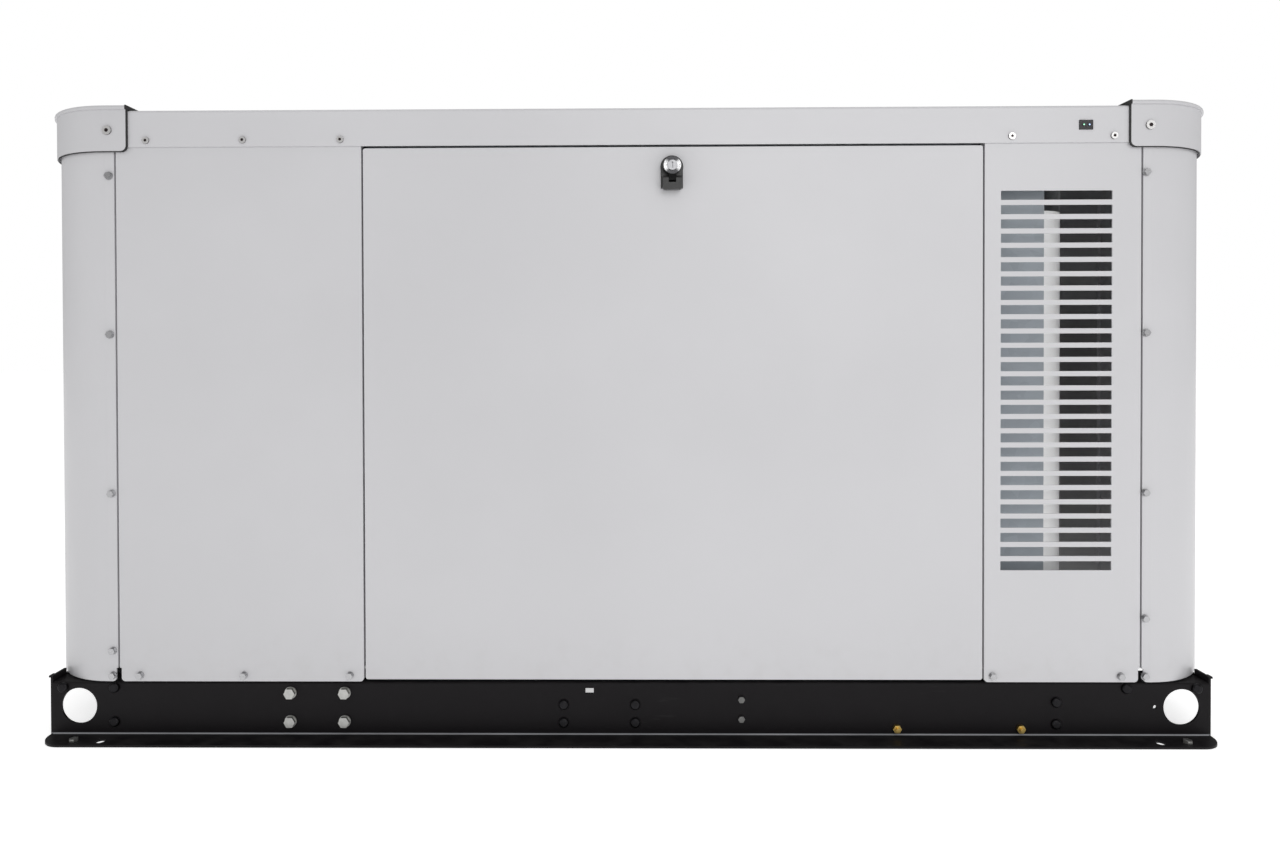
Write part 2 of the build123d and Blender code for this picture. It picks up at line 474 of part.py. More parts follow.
# ---- Service door and its latch -----------------------------------------------------------------
LIP = 12.0
SEAL_T = 1.6
door_x0, door_x1 = centre_panel
lip_y = -SKIN_Y + DOOR_RETURN
with BuildPart() as service_door:
    block(door_x0, door_x1, -SKIN_Y, lip_y, DOOR_Z0, DOOR_Z1)
    block(door_x0 + DOOR_FOLD_T, door_x1 - DOOR_FOLD_T, -SKIN_Y + SKIN_T, lip_y - DOOR_FOLD_T,
          DOOR_Z0 + DOOR_FOLD_T, DOOR_Z1 - DOOR_FOLD_T, Mode.SUBTRACT)
    block(door_x0 + LIP, door_x1 - LIP, lip_y - DOOR_FOLD_T - 1, lip_y + 1,
          DOOR_Z0 + LIP, DOOR_Z1 - LIP, Mode.SUBTRACT)
    corners = service_door.edges().filter_by(Axis.Y).group_by(SortBy.LENGTH)[-1]
    fillet(corners, 3.0)
    for x in (door_x0, door_x1):
        rod_x(x - 4, x + 4, PIVOT_Y, PIVOT_Z, PIVOT_R + FIT, Mode.SUBTRACT)
    rod_y(LATCH_X, -SKIN_Y - 1, -SKIN_Y + 5, LATCH_Z, 9.0, Mode.SUBTRACT)
finish(service_door.part, "service_door")

SEAL_W = 9.0
with BuildPart() as door_seal:
    y0, y1 = lip_y, lip_y + SEAL_T
    block(door_x0 + 1, door_x0 + 1 + SEAL_W, y0, y1, STOP_Z0 + 4, DOOR_Z1 - 2)
    block(door_x1 - 1 - SEAL_W, door_x1 - 1, y0, y1, STOP_Z0 + 4, DOOR_Z1 - 2)
    block(door_x0 + 1, door_x1 - 1, y0, y1, DOOR_Z1 - 2 - SEAL_W, DOOR_Z1 - 2)
finish(door_seal.part, "door_seal")

HOUSING_R, HOUSING_BOTTOM, HOUSING_FRONT = 15.0, 731.0, -347.0
BARREL_R, SHAFT_R, PLUG_R = 11.5, 6.0, 6.5
CAM_Y0, CAM_Y1, CAM_REACH = -313.0, -310.0, 38.0
LEVER_Y, LEVER_Z = -353.0, 742.0
with BuildPart() as latch_housing:
    with BuildSketch(Plane.XZ.offset(SKIN_Y)):
        with Locations((LATCH_X, LATCH_Z)):
            Circle(HOUSING_R)
        with Locations((LATCH_X, (LATCH_Z + HOUSING_BOTTOM) / 2)):
            Rectangle(2 * HOUSING_R - 1, LATCH_Z - HOUSING_BOTTOM)
    extrude(amount=-HOUSING_FRONT - SKIN_Y)
    fillet(latch_housing.faces().sort_by(Axis.Y)[0].edges(), 1.2)
    rod_y(LATCH_X, -SKIN_Y, -SKIN_Y + 10, LATCH_Z, 8.8)
    rod_y(LATCH_X, -SKIN_Y + SKIN_T, -SKIN_Y + 6, LATCH_Z, 13.0)
    rod_y(LATCH_X, -360, -300, LATCH_Z, SHAFT_R + FIT, Mode.SUBTRACT)
finish(latch_housing.part, "latch_housing")

with BuildPart() as latch_barrel:
    rod_y(LATCH_X, -358.0, HOUSING_FRONT - 0.4, LATCH_Z, BARREL_R)
    rod_y(LATCH_X, -350.0, CAM_Y1 + 4, LATCH_Z, SHAFT_R)
    rod_x(LATCH_X - 4.7, LATCH_X + 4.7, LEVER_Y, LEVER_Z, 4.0)
    block(LATCH_X - 4.7, LATCH_X + 4.7, LEVER_Y - 4, LEVER_Y + 4, LEVER_Z, LATCH_Z - 6)
    rod_x(LATCH_X - 6, LATCH_X + 6, LEVER_Y, LEVER_Z, 2.0 + FIT, Mode.SUBTRACT)
    rod_y(LATCH_X, -360.0, -351.0, LATCH_Z, PLUG_R + FIT, Mode.SUBTRACT)
    block(LATCH_X - 8, LATCH_X + 8, CAM_Y0, CAM_Y1, LATCH_Z - 8, LATCH_Z + CAM_REACH)
    corner_edges = latch_barrel.edges().filter_by(Axis.Y).group_by(Axis.Z)[-1]
    fillet(corner_edges, 5.0)
finish(latch_barrel.part, "latch_barrel")

with BuildPart() as latch_lever:
    for side in (-1, 1):
        rod_x(LATCH_X + side * 5, LATCH_X + side * 12.5, LEVER_Y, LEVER_Z, 4.0)
        block(LATCH_X + side * 5, LATCH_X + side * 12.5, LEVER_Y - 4, LEVER_Y + 4, LEVER_Z - 5, LEVER_Z)
    block(LATCH_X - 12.5, LATCH_X + 12.5, LEVER_Y - 4, LEVER_Y + 4, 727.5, LEVER_Z - 5)
    rod_x(LATCH_X - 6, LATCH_X + 6, LEVER_Y, LEVER_Z, 2.0)
    fillet(latch_lever.edges().filter_by(Axis.Y).group_by(Axis.Z)[0], 3.0)
finish(latch_lever.part, "latch_lever")

with BuildPart() as latch_key_plug:
    rod_y(LATCH_X, -359.4, -351.4, LATCH_Z, PLUG_R)
    block(LATCH_X - 0.8, LATCH_X + 0.8, -361, -355, LATCH_Z - 4, LATCH_Z + 4, Mode.SUBTRACT)
finish(latch_key_plug.part, "latch_key_plug")

# ---- Engine -------------------------------------------------------------------------------------
BLOCK_HALF_Y, HEAD_Z1, COVER_Z1 = 88.0, 560.0, 618.0
PAN_Z0, FLANGE_X = 122.0, BLOCK_X0 + 10
block_mid = (BLOCK_X0 + BLOCK_X1) / 2
bores = [block_mid + BORE_PITCH * i for i in (-1.5, -0.5, 0.5, 1.5)]
MOUNT_X, MOUNT_Y, MOUNT_TOP, MOUNT_R = 262.0, 150.0, 96.0, 22.0
FOOT_T = 8.0
DIP_X, DIP_Y, DIP_R = 278.0, -104.0, 3.0
with BuildPart() as engine_block:
    block(BLOCK_X0, BLOCK_X1, -BLOCK_HALF_Y, BLOCK_HALF_Y, BLOCK_Z0, BLOCK_Z1)
    vertical = engine_block.edges().filter_by(Axis.Z)
    fillet(vertical, 8.0)
    rod_x(BLOCK_X0, FLANGE_X, 0, CRANK_Z, ALT_R)
    for x in bores:
        rod_z(x, 0, CRANK_Z, BLOCK_Z1 + 1, BORE_R, Mode.SUBTRACT)
        block(x - 31, x + 31, -74, 74, BLOCK_Z0 - 1, 345, Mode.SUBTRACT)
        for side in (-1, 1):
            block(x - 34, x + 34, side * BLOCK_HALF_Y, side * (BLOCK_HALF_Y + 3), 372, 462)
    rod_x(BLOCK_X0 - 1, BLOCK_X1 + 1, 0, CRANK_Z, MAIN_R + FIT, Mode.SUBTRACT)
    for side in (-1, 1):
        block(MOUNT_X - 22, MOUNT_X + 22, side * (MOUNT_Y - 28), side * (MOUNT_Y + 28),
              MOUNT_TOP, MOUNT_TOP + FOOT_T)
        block(MOUNT_X - 5, MOUNT_X + 5, side * (BLOCK_HALF_Y - 3), side * (MOUNT_Y + 20),
              MOUNT_TOP, BLOCK_Z0 + 45)
        with BuildSketch(Plane.YZ.offset(MOUNT_X)):
            Polygon((side * (BLOCK_HALF_Y + 12), BLOCK_Z0 + 60), (side * (MOUNT_Y + 30), BLOCK_Z0 + 60),
                    (side * (MOUNT_Y + 30), MOUNT_TOP + 30), align=None)
        extrude(amount=10, both=True, mode=Mode.SUBTRACT)
    block(DIP_X - 8, DIP_X + 8, DIP_Y - 7, -BLOCK_HALF_Y, 232, 252)
    rod_z(DIP_X, DIP_Y, 240, 520, 6.0)
    rod_z(DIP_X, DIP_Y, 245, 521, DIP_R + 0.5, Mode.SUBTRACT)
    rod_x(BLOCK_X1, 318.0, 0, FAN_Z, 44.0)
    rod_x(BLOCK_X1 - 8, 319.0, 0, FAN_Z, 12.0 + FIT, Mode.SUBTRACT)
    rod_y(304.5, 20, 46, FAN_Z, 11.0)
finish(engine_block.part, "engine_block")

with BuildPart() as oil_pan:
    block(FLANGE_X + 2, BLOCK_X1 - 4, -84, 84, PAN_Z0, BLOCK_Z0)
    fillet(oil_pan.edges().filter_by(Axis.Z), 10.0)
    fillet(oil_pan.faces().sort_by(Axis.Z)[0].edges(), 8.0)
    block(FLANGE_X + 5, BLOCK_X1 - 7, -81, 81, PAN_Z0 + 3, BLOCK_Z0 + 1, Mode.SUBTRACT)
    rod_z(90, 0, PAN_Z0 - 6, PAN_Z0 + 3, 9.0)
finish(oil_pan.part, "oil_pan")

with BuildPart() as oil_filter:
    rod_y(196.0, -BLOCK_HALF_Y - 3, -BLOCK_HALF_Y, 300, 20.0)
    rod_y(196.0, -BLOCK_HALF_Y - 92, -BLOCK_HALF_Y - 3, 300, 37.0)
    fillet(oil_filter.faces().sort_by(Axis.Y)[0].edges(), 7.0)
finish(oil_filter.part, "oil_filter")

with BuildPart() as cylinder_head:
    block(BLOCK_X0 + 12, BLOCK_X1 - 6, -84, 84, BLOCK_Z1, HEAD_Z1)
    fillet(cylinder_head.edges().filter_by(Axis.Z), 6.0)
    for x in bores:
        rod_z(x, 0, BLOCK_Z1 - 1, BLOCK_Z1 + 12, BORE_R, Mode.SUBTRACT)
    rod_z(MOUNT_X, -66.0, HEAD_Z1, HEAD_Z1 + 14, 17.0)
finish(cylinder_head.part, "cylinder_head")

FILLER_X = 20.0
with BuildPart() as valve_cover:
    block(BLOCK_X0 + 20, 236, -56, 56, HEAD_Z1, COVER_Z1)
    fillet(valve_cover.edges().filter_by(Axis.Z), 16.0)
    fillet(valve_cover.faces().sort_by(Axis.Z)[-1].edges(), 12.0)
    block(BLOCK_X0 + 24, 232, -52, 52, HEAD_Z1 - 1, COVER_Z1 - 14, Mode.SUBTRACT)
    rod_z(FILLER_X, 0, COVER_Z1 - 5, COVER_Z1 + 8, 20.0)
    rod_z(FILLER_X, 0, COVER_Z1 - 20, COVER_Z1 + 9, 15.0 + FIT, Mode.SUBTRACT)
finish(valve_cover.part, "valve_cover")

with BuildPart() as oil_filler_cap:
    rod_z(FILLER_X, 0, COVER_Z1 - 4, COVER_Z1 + 9, 15.0)
    with BuildSketch(Plane.XY.offset(COVER_Z1 + 8.4)):
        with Locations((FILLER_X, 0)):
            Circle(21.0)
            with PolarLocations(22.5, 8):
                Circle(4.0, mode=Mode.SUBTRACT)
    extrude(amount=14)
finish(oil_filler_cap.part, "oil_filler_cap")

with BuildPart() as dipstick:
    rod_z(DIP_X, DIP_Y, 330, 534, DIP_R)
    rod_z(DIP_X, DIP_Y, 520.4, 534, 8.0)
    with BuildSketch(Plane.XZ.offset(-DIP_Y - 3)):
        with Locations((DIP_X, 546)):
            Circle(15.0)
            Circle(9.0, mode=Mode.SUBTRACT)
    extrude(amount=6)
finish(dipstick.part, "dipstick")

FLYWHEEL_X0, FLYWHEEL_X1, FLYWHEEL_R = -79.0, -66.0, 128.0
with BuildPart() as crankshaft:
    rod_x(BLOCK_X0 - 6, BLOCK_X1 + 52, 0, CRANK_Z, 20.0)
    for x in [bores[0] - BORE_PITCH / 2] + [b + BORE_PITCH / 2 for b in bores]:
        rod_x(x - 17, x + 17, 0, CRANK_Z, MAIN_R)
    for x, up in zip(bores, (1, -1, -1, 1)):
        block(x - 14, x + 14, -24, 24, CRANK_Z - 24, CRANK_Z + 24, Mode.SUBTRACT)
        rod_x(x - 26, x + 26, 0, CRANK_Z + up * CRANK_THROW, CRANK_PIN_R)
        for web_x in (x - 26, x + 14):
            block(web_x, web_x + 12, -23, 23, CRANK_Z - up * 50, CRANK_Z + up * 46)
            rod_x(web_x, web_x + 12, 0, CRANK_Z + up * CRANK_THROW, CRANK_PIN_R)
    rod_x(FLYWHEEL_X0, FLYWHEEL_X1, 0, CRANK_Z, FLYWHEEL_R)
    rod_x(FLYWHEEL_X1, BLOCK_X0 + 4, 0, CRANK_Z, MAIN_R)
finish(crankshaft.part, "crankshaft")

GROOVES = 6
with BuildPart() as crank_pulley:
    rod_x(PULLEY_X0, PULLEY_X1, 0, CRANK_Z, CRANK_PULLEY_R)
    for x in (PULLEY_X0, PULLEY_X1 - 3):
        rod_x(x, x + 3, 0, CRANK_Z, CRANK_PULLEY_R + 7)
    rod_x(PULLEY_X0 - 6, PULLEY_X0, 0, CRANK_Z, 30.0)
    rod_x(PULLEY_X0 - 7, PULLEY_X1 + 1, 0, CRANK_Z, 20.0, Mode.SUBTRACT)
finish(crank_pulley.part, "crank_pulley")

FAN_X, FAN_R, FAN_BLADES = 372.0, 186.0, 7
with BuildPart() as radiator_fan:
    rod_x(296, 392, 0, FAN_Z, 12.0)
    rod_x(PULLEY_X0, PULLEY_X1, 0, FAN_Z, FAN_PULLEY_R)
    for x in (PULLEY_X0, PULLEY_X1 - 3):
        rod_x(x, x + 3, 0, FAN_Z, FAN_PULLEY_R + 7)
    rod_x(PULLEY_X1, 392, 0, FAN_Z, 50.0)
    with Locations(Plane((FAN_X, 0, FAN_Z), x_dir=(0, 1, 0), z_dir=(1, 0, 0))):
        with PolarLocations(0, FAN_BLADES):
            with Locations(Location((115, 0, 0), (33, 0, 0))):
                Box(142, 62, 3)
finish(radiator_fan.part, "radiator_fan")

with BuildPart() as drive_belt:
    with BuildSketch(Plane.YZ.offset(PULLEY_X0 + 3.5)):
        for extra, mode in ((0.4 + BELT_T, Mode.ADD), (0.4, Mode.SUBTRACT)):
            low, high = CRANK_PULLEY_R + extra, FAN_PULLEY_R + extra
            with Locations((0, CRANK_Z)):
                Circle(low, mode=mode)
            with Locations((0, FAN_Z)):
                Circle(high, mode=mode)
            span = FAN_Z - CRANK_Z
            lean = (low - high) / span
            rise = (1 - lean**2) ** 0.5
            Polygon((-low * rise, CRANK_Z + low * lean), (low * rise, CRANK_Z + low * lean),
                    (high * rise, FAN_Z + high * lean), (-high * rise, FAN_Z + high * lean),
                    align=None, mode=mode)
    extrude(amount=PULLEY_X1 - PULLEY_X0 - 7)
finish(drive_belt.part, "drive_belt")

STARTER_Y, STARTER_Z = -126.0, 226.0
with BuildPart() as starter_motor:
    rod_x(FLANGE_X, FLANGE_X + 34, STARTER_Y, STARTER_Z, 34.0)
    rod_x(FLANGE_X + 34, FLANGE_X + 150, STARTER_Y, STARTER_Z, 30.0)
    rod_x(FLANGE_X + 40, FLANGE_X + 104, STARTER_Y - 10, STARTER_Z + 42, 17.0)
    block(FLANGE_X + 44, FLANGE_X + 96, STARTER_Y - 16, STARTER_Y + 4, STARTER_Z + 20, STARTER_Z + 40)
    rod_x(FLANGE_X + 104, FLANGE_X + 116, STARTER_Y - 10, STARTER_Z + 42, 4.0)
finish(starter_motor.part, "starter_motor")

INTAKE_Y, INTAKE_Z = -128.0, 520.0
with BuildPart() as intake_manifold:
    rod_x(-36, 258, INTAKE_Y, INTAKE_Z, 20.0)
    for x in bores:
        rod_y(x, INTAKE_Y, -84, INTAKE_Z, 15.0)
        block(x - 26, x + 26, -90, -84, INTAKE_Z - 20, INTAKE_Z + 20)
    rod_x(-44, -36, INTAKE_Y, INTAKE_Z, 32.0)
    rod_x(-104, -44, INTAKE_Y, INTAKE_Z, 27.0)
finish(intake_manifold.part, "intake_manifold")

EXHAUST_Y, EXHAUST_Z = 122.0, 520.0
with BuildPart() as exhaust_manifold:
    rod_x(-34, 262, EXHAUST_Y, EXHAUST_Z, 24.0)
    for x in bores:
        rod_y(x, 84, EXHAUST_Y, EXHAUST_Z, 18.0)
        block(x - 28, x + 28, 84, 91, EXHAUST_Z - 22, EXHAUST_Z + 22)
    rod_x(262, 270, EXHAUST_Y, EXHAUST_Z, 33.0)
finish(exhaust_manifold.part, "exhaust_manifold")

MUFFLER_X, MUFFLER_Y, MUFFLER_R = 672.0, 150.0, 70.0
PIPE_R = 19.0
with BuildPart() as muffler:
    tube([(270, EXHAUST_Y, EXHAUST_Z), (318, EXHAUST_Y, EXHAUST_Z), (340, 268, EXHAUST_Z),
          (545, 268, EXHAUST_Z), (560, MUFFLER_Y, EXHAUST_Z), (630, MUFFLER_Y, EXHAUST_Z)],
         [24, 40, 30, 30], PIPE_R)
    rod_z(MUFFLER_X, MUFFLER_Y, 150, 600, MUFFLER_R)
    fillet(muffler.edges().filter_by(GeomType.CIRCLE).group_by(Axis.Z)[-1], 10.0)
    rod_z(MUFFLER_X, MUFFLER_Y, 600, 664, PIPE_R)
    rod_z(MUFFLER_X, MUFFLER_Y, 153, 590, MUFFLER_R - 2.5, Mode.SUBTRACT)
    rod_z(MUFFLER_X, MUFFLER_Y, 580, 665, PIPE_R - 2, Mode.SUBTRACT)
    for side in (-1, 1):
        block(MUFFLER_X - 20, MUFFLER_X + 20, MUFFLER_Y + side * 30 - 2, MUFFLER_Y + side * 30 + 2, RAIL_TOP + 3, 152)
    block(MUFFLER_X - 40, MUFFLER_X + 40, -MUFFLER_Y, 308, RAIL_TOP, RAIL_TOP + 3)
finish(muffler.part, "muffler")

# ---- Alternator ---------------------------------------------------------------------------------
SHAFT_A_R = 24.0
feet_x = (MEMBERS[0][0], -76.0)
with BuildPart() as alternator_frame:
    rod_x(ALT_X0, BLOCK_X0, 0, CRANK_Z, ALT_R)
    rod_x(ALT_X0 - 16, ALT_X0, 0, CRANK_Z, 60.0)
    for side in (-1, 1):
        for x in feet_x:
            block(x - 20, x + 20, side * (MOUNT_Y - 26), side * (MOUNT_Y + 26), MOUNT_TOP, MOUNT_TOP + FOOT_T)
            block(x - 5, x + 5, side * (MOUNT_Y - 60), side * (MOUNT_Y + 22), MOUNT_TOP, CRANK_Z - 50)
            with BuildSketch(Plane.YZ.offset(x)):
                Polygon((side * (MOUNT_Y + 8), CRANK_Z - 40), (side * (MOUNT_Y + 30), CRANK_Z - 40),
                        (side * (MOUNT_Y + 30), MOUNT_TOP + 24), align=None)
            extrude(amount=10, both=True, mode=Mode.SUBTRACT)
    block(-330, -200, -60, 60, CRANK_Z + ALT_R - 22, CRANK_Z + ALT_R + 48)
    block(-326, -204, -56, 56, CRANK_Z + ALT_R, CRANK_Z + ALT_R + 46, Mode.SUBTRACT)
    rod_x(ALT_X0 + 10, BLOCK_X0 + 1, 0, CRANK_Z, ALT_R - ALT_T, Mode.SUBTRACT)
    rod_x(ALT_X0 - 12, ALT_X0 + 11, 0, CRANK_Z, SHAFT_A_R + FIT, Mode.SUBTRACT)
    with Locations(Plane((ALT_X1 - 24, 0, CRANK_Z), x_dir=(0, 0, 1), z_dir=(1, 0, 0))):
        with PolarLocations(ALT_R, 16):
            Box(30, 22, 26, mode=Mode.SUBTRACT)
finish(alternator_frame.part, "alternator_frame")

with BuildPart() as stator:
    rod_x(-366, -150, 0, CRANK_Z, ALT_R - ALT_T)
    rod_x(-392, -124, 0, CRANK_Z, 140.0)
    rod_x(-393, -123, 0, CRANK_Z, STATOR_R, Mode.SUBTRACT)
finish(stator.part, "stator")

with BuildPart() as rotor:
    rod_x(ALT_X0 - 10, FLYWHEEL_X0, 0, CRANK_Z, SHAFT_A_R)
    rod_x(-360, -156, 0, CRANK_Z, ROTOR_R)
    rod_x(-384, -132, 0, CRANK_Z, 74.0)
    with Locations(Plane((0, 0, CRANK_Z), x_dir=(0, 1, 0), z_dir=(1, 0, 0))):
        with PolarLocations(ROTOR_R, 4, start_angle=45):
            Box(22, 30, 800, mode=Mode.SUBTRACT)
    rod_x(-112, -109, 0, CRANK_Z, 140.0)
    with Locations(Plane((-101, 0, CRANK_Z), x_dir=(0, 1, 0), z_dir=(1, 0, 0))):
        with PolarLocations(105, 12):
            Box(60, 3, 18)
    rod_x(FLYWHEEL_X0 - 12, FLYWHEEL_X0, 0, CRANK_Z, 62.0)
finish(rotor.part, "rotor")

with BuildPart() as vibration_mounts:
    for x in (*feet_x, MOUNT_X):
        for side in (-1, 1):
            rod_z(x, side * MOUNT_Y, MEMBER_Z1, MOUNT_TOP, 18.0)
            rod_z(x, side * MOUNT_Y, MEMBER_Z1, MEMBER_Z1 + 5, MOUNT_R - 1)
            rod_z(x, side * MOUNT_Y, MOUNT_TOP - 5, MOUNT_TOP, 19.5)
finish(vibration_mounts.part, "vibration_mounts")

# ---- Cooling ------------------------------------------------------------------------------------
RAD_X0, CAP_RAD_Y = 426.0, -180.0
TANK_H = 40.0
with BuildPart() as radiator:
    block(RAD_X0 + 6, BULKHEAD_X - 6, -RADIATOR_HALF_Y + 12, RADIATOR_HALF_Y - 12,
          RADIATOR_Z0 + TANK_H, RADIATOR_Z1 - TANK_H)
    for z0, z1 in ((RADIATOR_Z0, RADIATOR_Z0 + TANK_H), (RADIATOR_Z1 - TANK_H, RADIATOR_Z1)):
        block(RAD_X0, BULKHEAD_X, -RADIATOR_HALF_Y, RADIATOR_HALF_Y, z0, z1)
    for side in (-1, 1):
        block(RAD_X0, BULKHEAD_X, side * (RADIATOR_HALF_Y - 12), side * RADIATOR_HALF_Y,
              RADIATOR_Z0, RADIATOR_Z1)
    rod_z(453, CAP_RAD_Y, RADIATOR_Z1, RADIATOR_Z1 + 12, 17.0)
    rod_z(453, CAP_RAD_Y, RADIATOR_Z1 - 10, RADIATOR_Z1 + 13, 14.0, Mode.SUBTRACT)
    for side in (-1, 1):
        block(RAD_X0 + 14, BULKHEAD_X, side * 200 - 18, side * 200 + 18, RAIL_TOP + 3, RADIATOR_Z0)
    block(RAD_X0 + 14, BULKHEAD_X, -308, 308, RAIL_TOP, RAIL_TOP + 3)
finish(radiator.part, "radiator")

with BuildPart() as radiator_cap:
    rod_z(453, CAP_RAD_Y, RADIATOR_Z1 + 2, RADIATOR_Z1 + 13, 14.0 - FIT)
    with BuildSketch(Plane.XY.offset(RADIATOR_Z1 + 12.4)):
        with Locations((453, CAP_RAD_Y)):
            Circle(20.0)
            Rectangle(52, 14)
    extrude(amount=9)
    fillet(radiator_cap.faces().sort_by(Axis.Z)[-1].edges(), 2.0)
finish(radiator_cap.part, "radiator_cap")

SHROUD_R, SHROUD_X = FAN_R + 8, 352.0
with BuildPart() as fan_shroud:
    block(RAD_X0 - 3, RAD_X0, -RADIATOR_HALF_Y, RADIATOR_HALF_Y, RADIATOR_Z0, RADIATOR_Z1)
    rod_x(SHROUD_X, RAD_X0, 0, FAN_Z, SHROUD_R + 3)
    rod_x(SHROUD_X - 1, RAD_X0 + 1, 0, FAN_Z, SHROUD_R, Mode.SUBTRACT)
finish(fan_shroud.part, "fan_shroud")

HOSE_R = 13.0
with BuildPart() as coolant_hoses:
    tube([(MOUNT_X, -66, HEAD_Z1 + 14), (MOUNT_X, -66, 712), (453, -66, 712), (453, -66, RADIATOR_Z1)],
         [55, 26], HOSE_R)
    tube([(304.5, 46, FAN_Z), (304.5, 134, FAN_Z), (304.5, 134, 124), (452, 134, 124), (452, 134, RADIATOR_Z0)],
         [38, 60, 28], HOSE_R)
finish(coolant_hoses.part, "coolant_hoses")

BULKHEAD_HALF_Y = 310.0
with BuildPart() as bulkhead:
    block(BULKHEAD_X, BULKHEAD_X + SKIN_T, -BULKHEAD_HALF_Y, BULKHEAD_HALF_Y, RAIL_TOP, FRAME_TOP)
    block(BULKHEAD_X - 2, BULKHEAD_X + 4, -RADIATOR_HALF_Y + 14, RADIATOR_HALF_Y - 14,
          RADIATOR_Z0 + 14, RADIATOR_Z1 - 14, Mode.SUBTRACT)
    rod_x(BULKHEAD_X - 2, BULKHEAD_X + 4, 268, EXHAUST_Z, PIPE_R + 3, Mode.SUBTRACT)
finish(bulkhead.part, "bulkhead")

DUCT_FACE_Y, DUCT_FLAT_X, DUCT_R, DUCT_Z0, DUCT_Z1 = -309.0, 568.0, 35.0, 160.0, 770.0
DUCT_NOTCH_Z = 704.6
with BuildPart() as discharge_duct:
    with BuildSketch(Plane.XY.offset(DUCT_Z0)):
        with BuildLine():
            Line((BULKHEAD_X + SKIN_T, DUCT_FACE_Y), (DUCT_FLAT_X, DUCT_FACE_Y))
            RadiusArc((DUCT_FLAT_X, DUCT_FACE_Y), (DUCT_FLAT_X + DUCT_R, DUCT_FACE_Y + DUCT_R), -DUCT_R)
            Line((DUCT_FLAT_X + DUCT_R, DUCT_FACE_Y + DUCT_R), (DUCT_FLAT_X + DUCT_R, DUCT_FACE_Y + 95))
            Line((DUCT_FLAT_X + DUCT_R, DUCT_FACE_Y + 95), (DUCT_FLAT_X + DUCT_R - 1.5, DUCT_FACE_Y + 95))
            Line((DUCT_FLAT_X + DUCT_R - 1.5, DUCT_FACE_Y + 95),
                 (DUCT_FLAT_X + DUCT_R - 1.5, DUCT_FACE_Y + DUCT_R))
            RadiusArc((DUCT_FLAT_X + DUCT_R - 1.5, DUCT_FACE_Y + DUCT_R), (DUCT_FLAT_X, DUCT_FACE_Y + 1.5),
                      DUCT_R - 1.5)
            Line((DUCT_FLAT_X, DUCT_FACE_Y + 1.5), (BULKHEAD_X + SKIN_T, DUCT_FACE_Y + 1.5))
            Line((BULKHEAD_X + SKIN_T, DUCT_FACE_Y + 1.5), (BULKHEAD_X + SKIN_T, DUCT_FACE_Y))
        make_face()
    extrude(amount=DUCT_Z1 - DUCT_Z0)
    block(DUCT_FLAT_X, DUCT_FLAT_X + 31.5, DUCT_FACE_Y - 1, DUCT_FACE_Y + 32,
          DUCT_NOTCH_Z, DUCT_Z1 + 1, Mode.SUBTRACT)
    mirror(about=Plane.XZ)
finish(discharge_duct.part, "discharge_duct")

# ---- Air, gas, battery and controls -------------------------------------------------------------
with BuildPart() as air_cleaner:
    block(-318, -128, -206, -66, 492, 612)
    fillet(air_cleaner.edges().filter_by(Axis.Z), 14.0)
    fillet(air_cleaner.faces().sort_by(Axis.Z)[-1].edges(), 6.0)
    rod_x(-128, -104, INTAKE_Y, INTAKE_Z, 27.0)
    rod_y(-240, -213, -200, 545, 24.0)
    block(-300, -210, -72, -60, 450, 494)
finish(air_cleaner.part, "air_cleaner")

REG_X, REG_Y = GAS_X, 215.0
with BuildPart() as gas_train:
    rod_y(GAS_X, 370.0, 285.0, GAS_Z, GAS_R)
    rod_y(GAS_X, 371.0, 330.0, GAS_Z, GAS_R - 3.5, Mode.SUBTRACT)
    block(GAS_X - 28, GAS_X + 28, 230, 290, GAS_Z - 26, GAS_Z + 26)
    rod_z(REG_X, 255, GAS_Z + 26, 224, 14.0)
    rod_y(REG_X, REG_Y - 28, REG_Y + 60, 262, 62.0)
    rod_z(REG_X, REG_Y, 262, 344, 16.0)
    tube([(REG_X, REG_Y, 344), (REG_X, REG_Y, 520), (-88, REG_Y, 520), (-88, INTAKE_Y + 27, 520)],
         [75, 75], 13.0)
    block(REG_X - 60, REG_X + 60, REG_Y - 20, 308, RAIL_TOP, RAIL_TOP + 3)
    block(REG_X - 20, REG_X + 20, 240, 250, RAIL_TOP, GAS_Z - 26)
finish(gas_train.part, "gas_train")

BATTERY = (-690.0, -512.0, -240.0, -64.0, RAIL_TOP + 3, 262.0)
with BuildPart() as battery:
    block(BATTERY[0], BATTERY[1], BATTERY[2], BATTERY[3], BATTERY[4], BATTERY[5] - 26)
    block(BATTERY[0] + 3, BATTERY[1] - 3, BATTERY[2] + 3, BATTERY[3] - 3, BATTERY[5] - 26, BATTERY[5] - 12)
    for x in (-650.0, -550.0):
        rod_z(x, -205, BATTERY[5] - 12, BATTERY[5] + 2, 8.0)
    block(-710, -492, -308, 40, RAIL_TOP, RAIL_TOP + 3)
    for y in (-244, -64):
        block(-700, -502, y, y + 4, RAIL_TOP + 3, RAIL_TOP + 30)
finish(battery.part, "battery")

with BuildPart() as battery_cables:
    tube([(-550, -205, 264), (-550, -205, 340), (-450, -232, 340), (-40, -232, 340), (22, -136, 340),
          (22, -136, 285.3)], [34, 150, 80, 24], 5.0)
    tube([(-650, -205, 264), (-650, -205, 352), (-440, -250, 352), (-440, -250, MEMBER_Z1)], [38, 95], 5.0)
finish(battery_cables.part, "battery_cables")

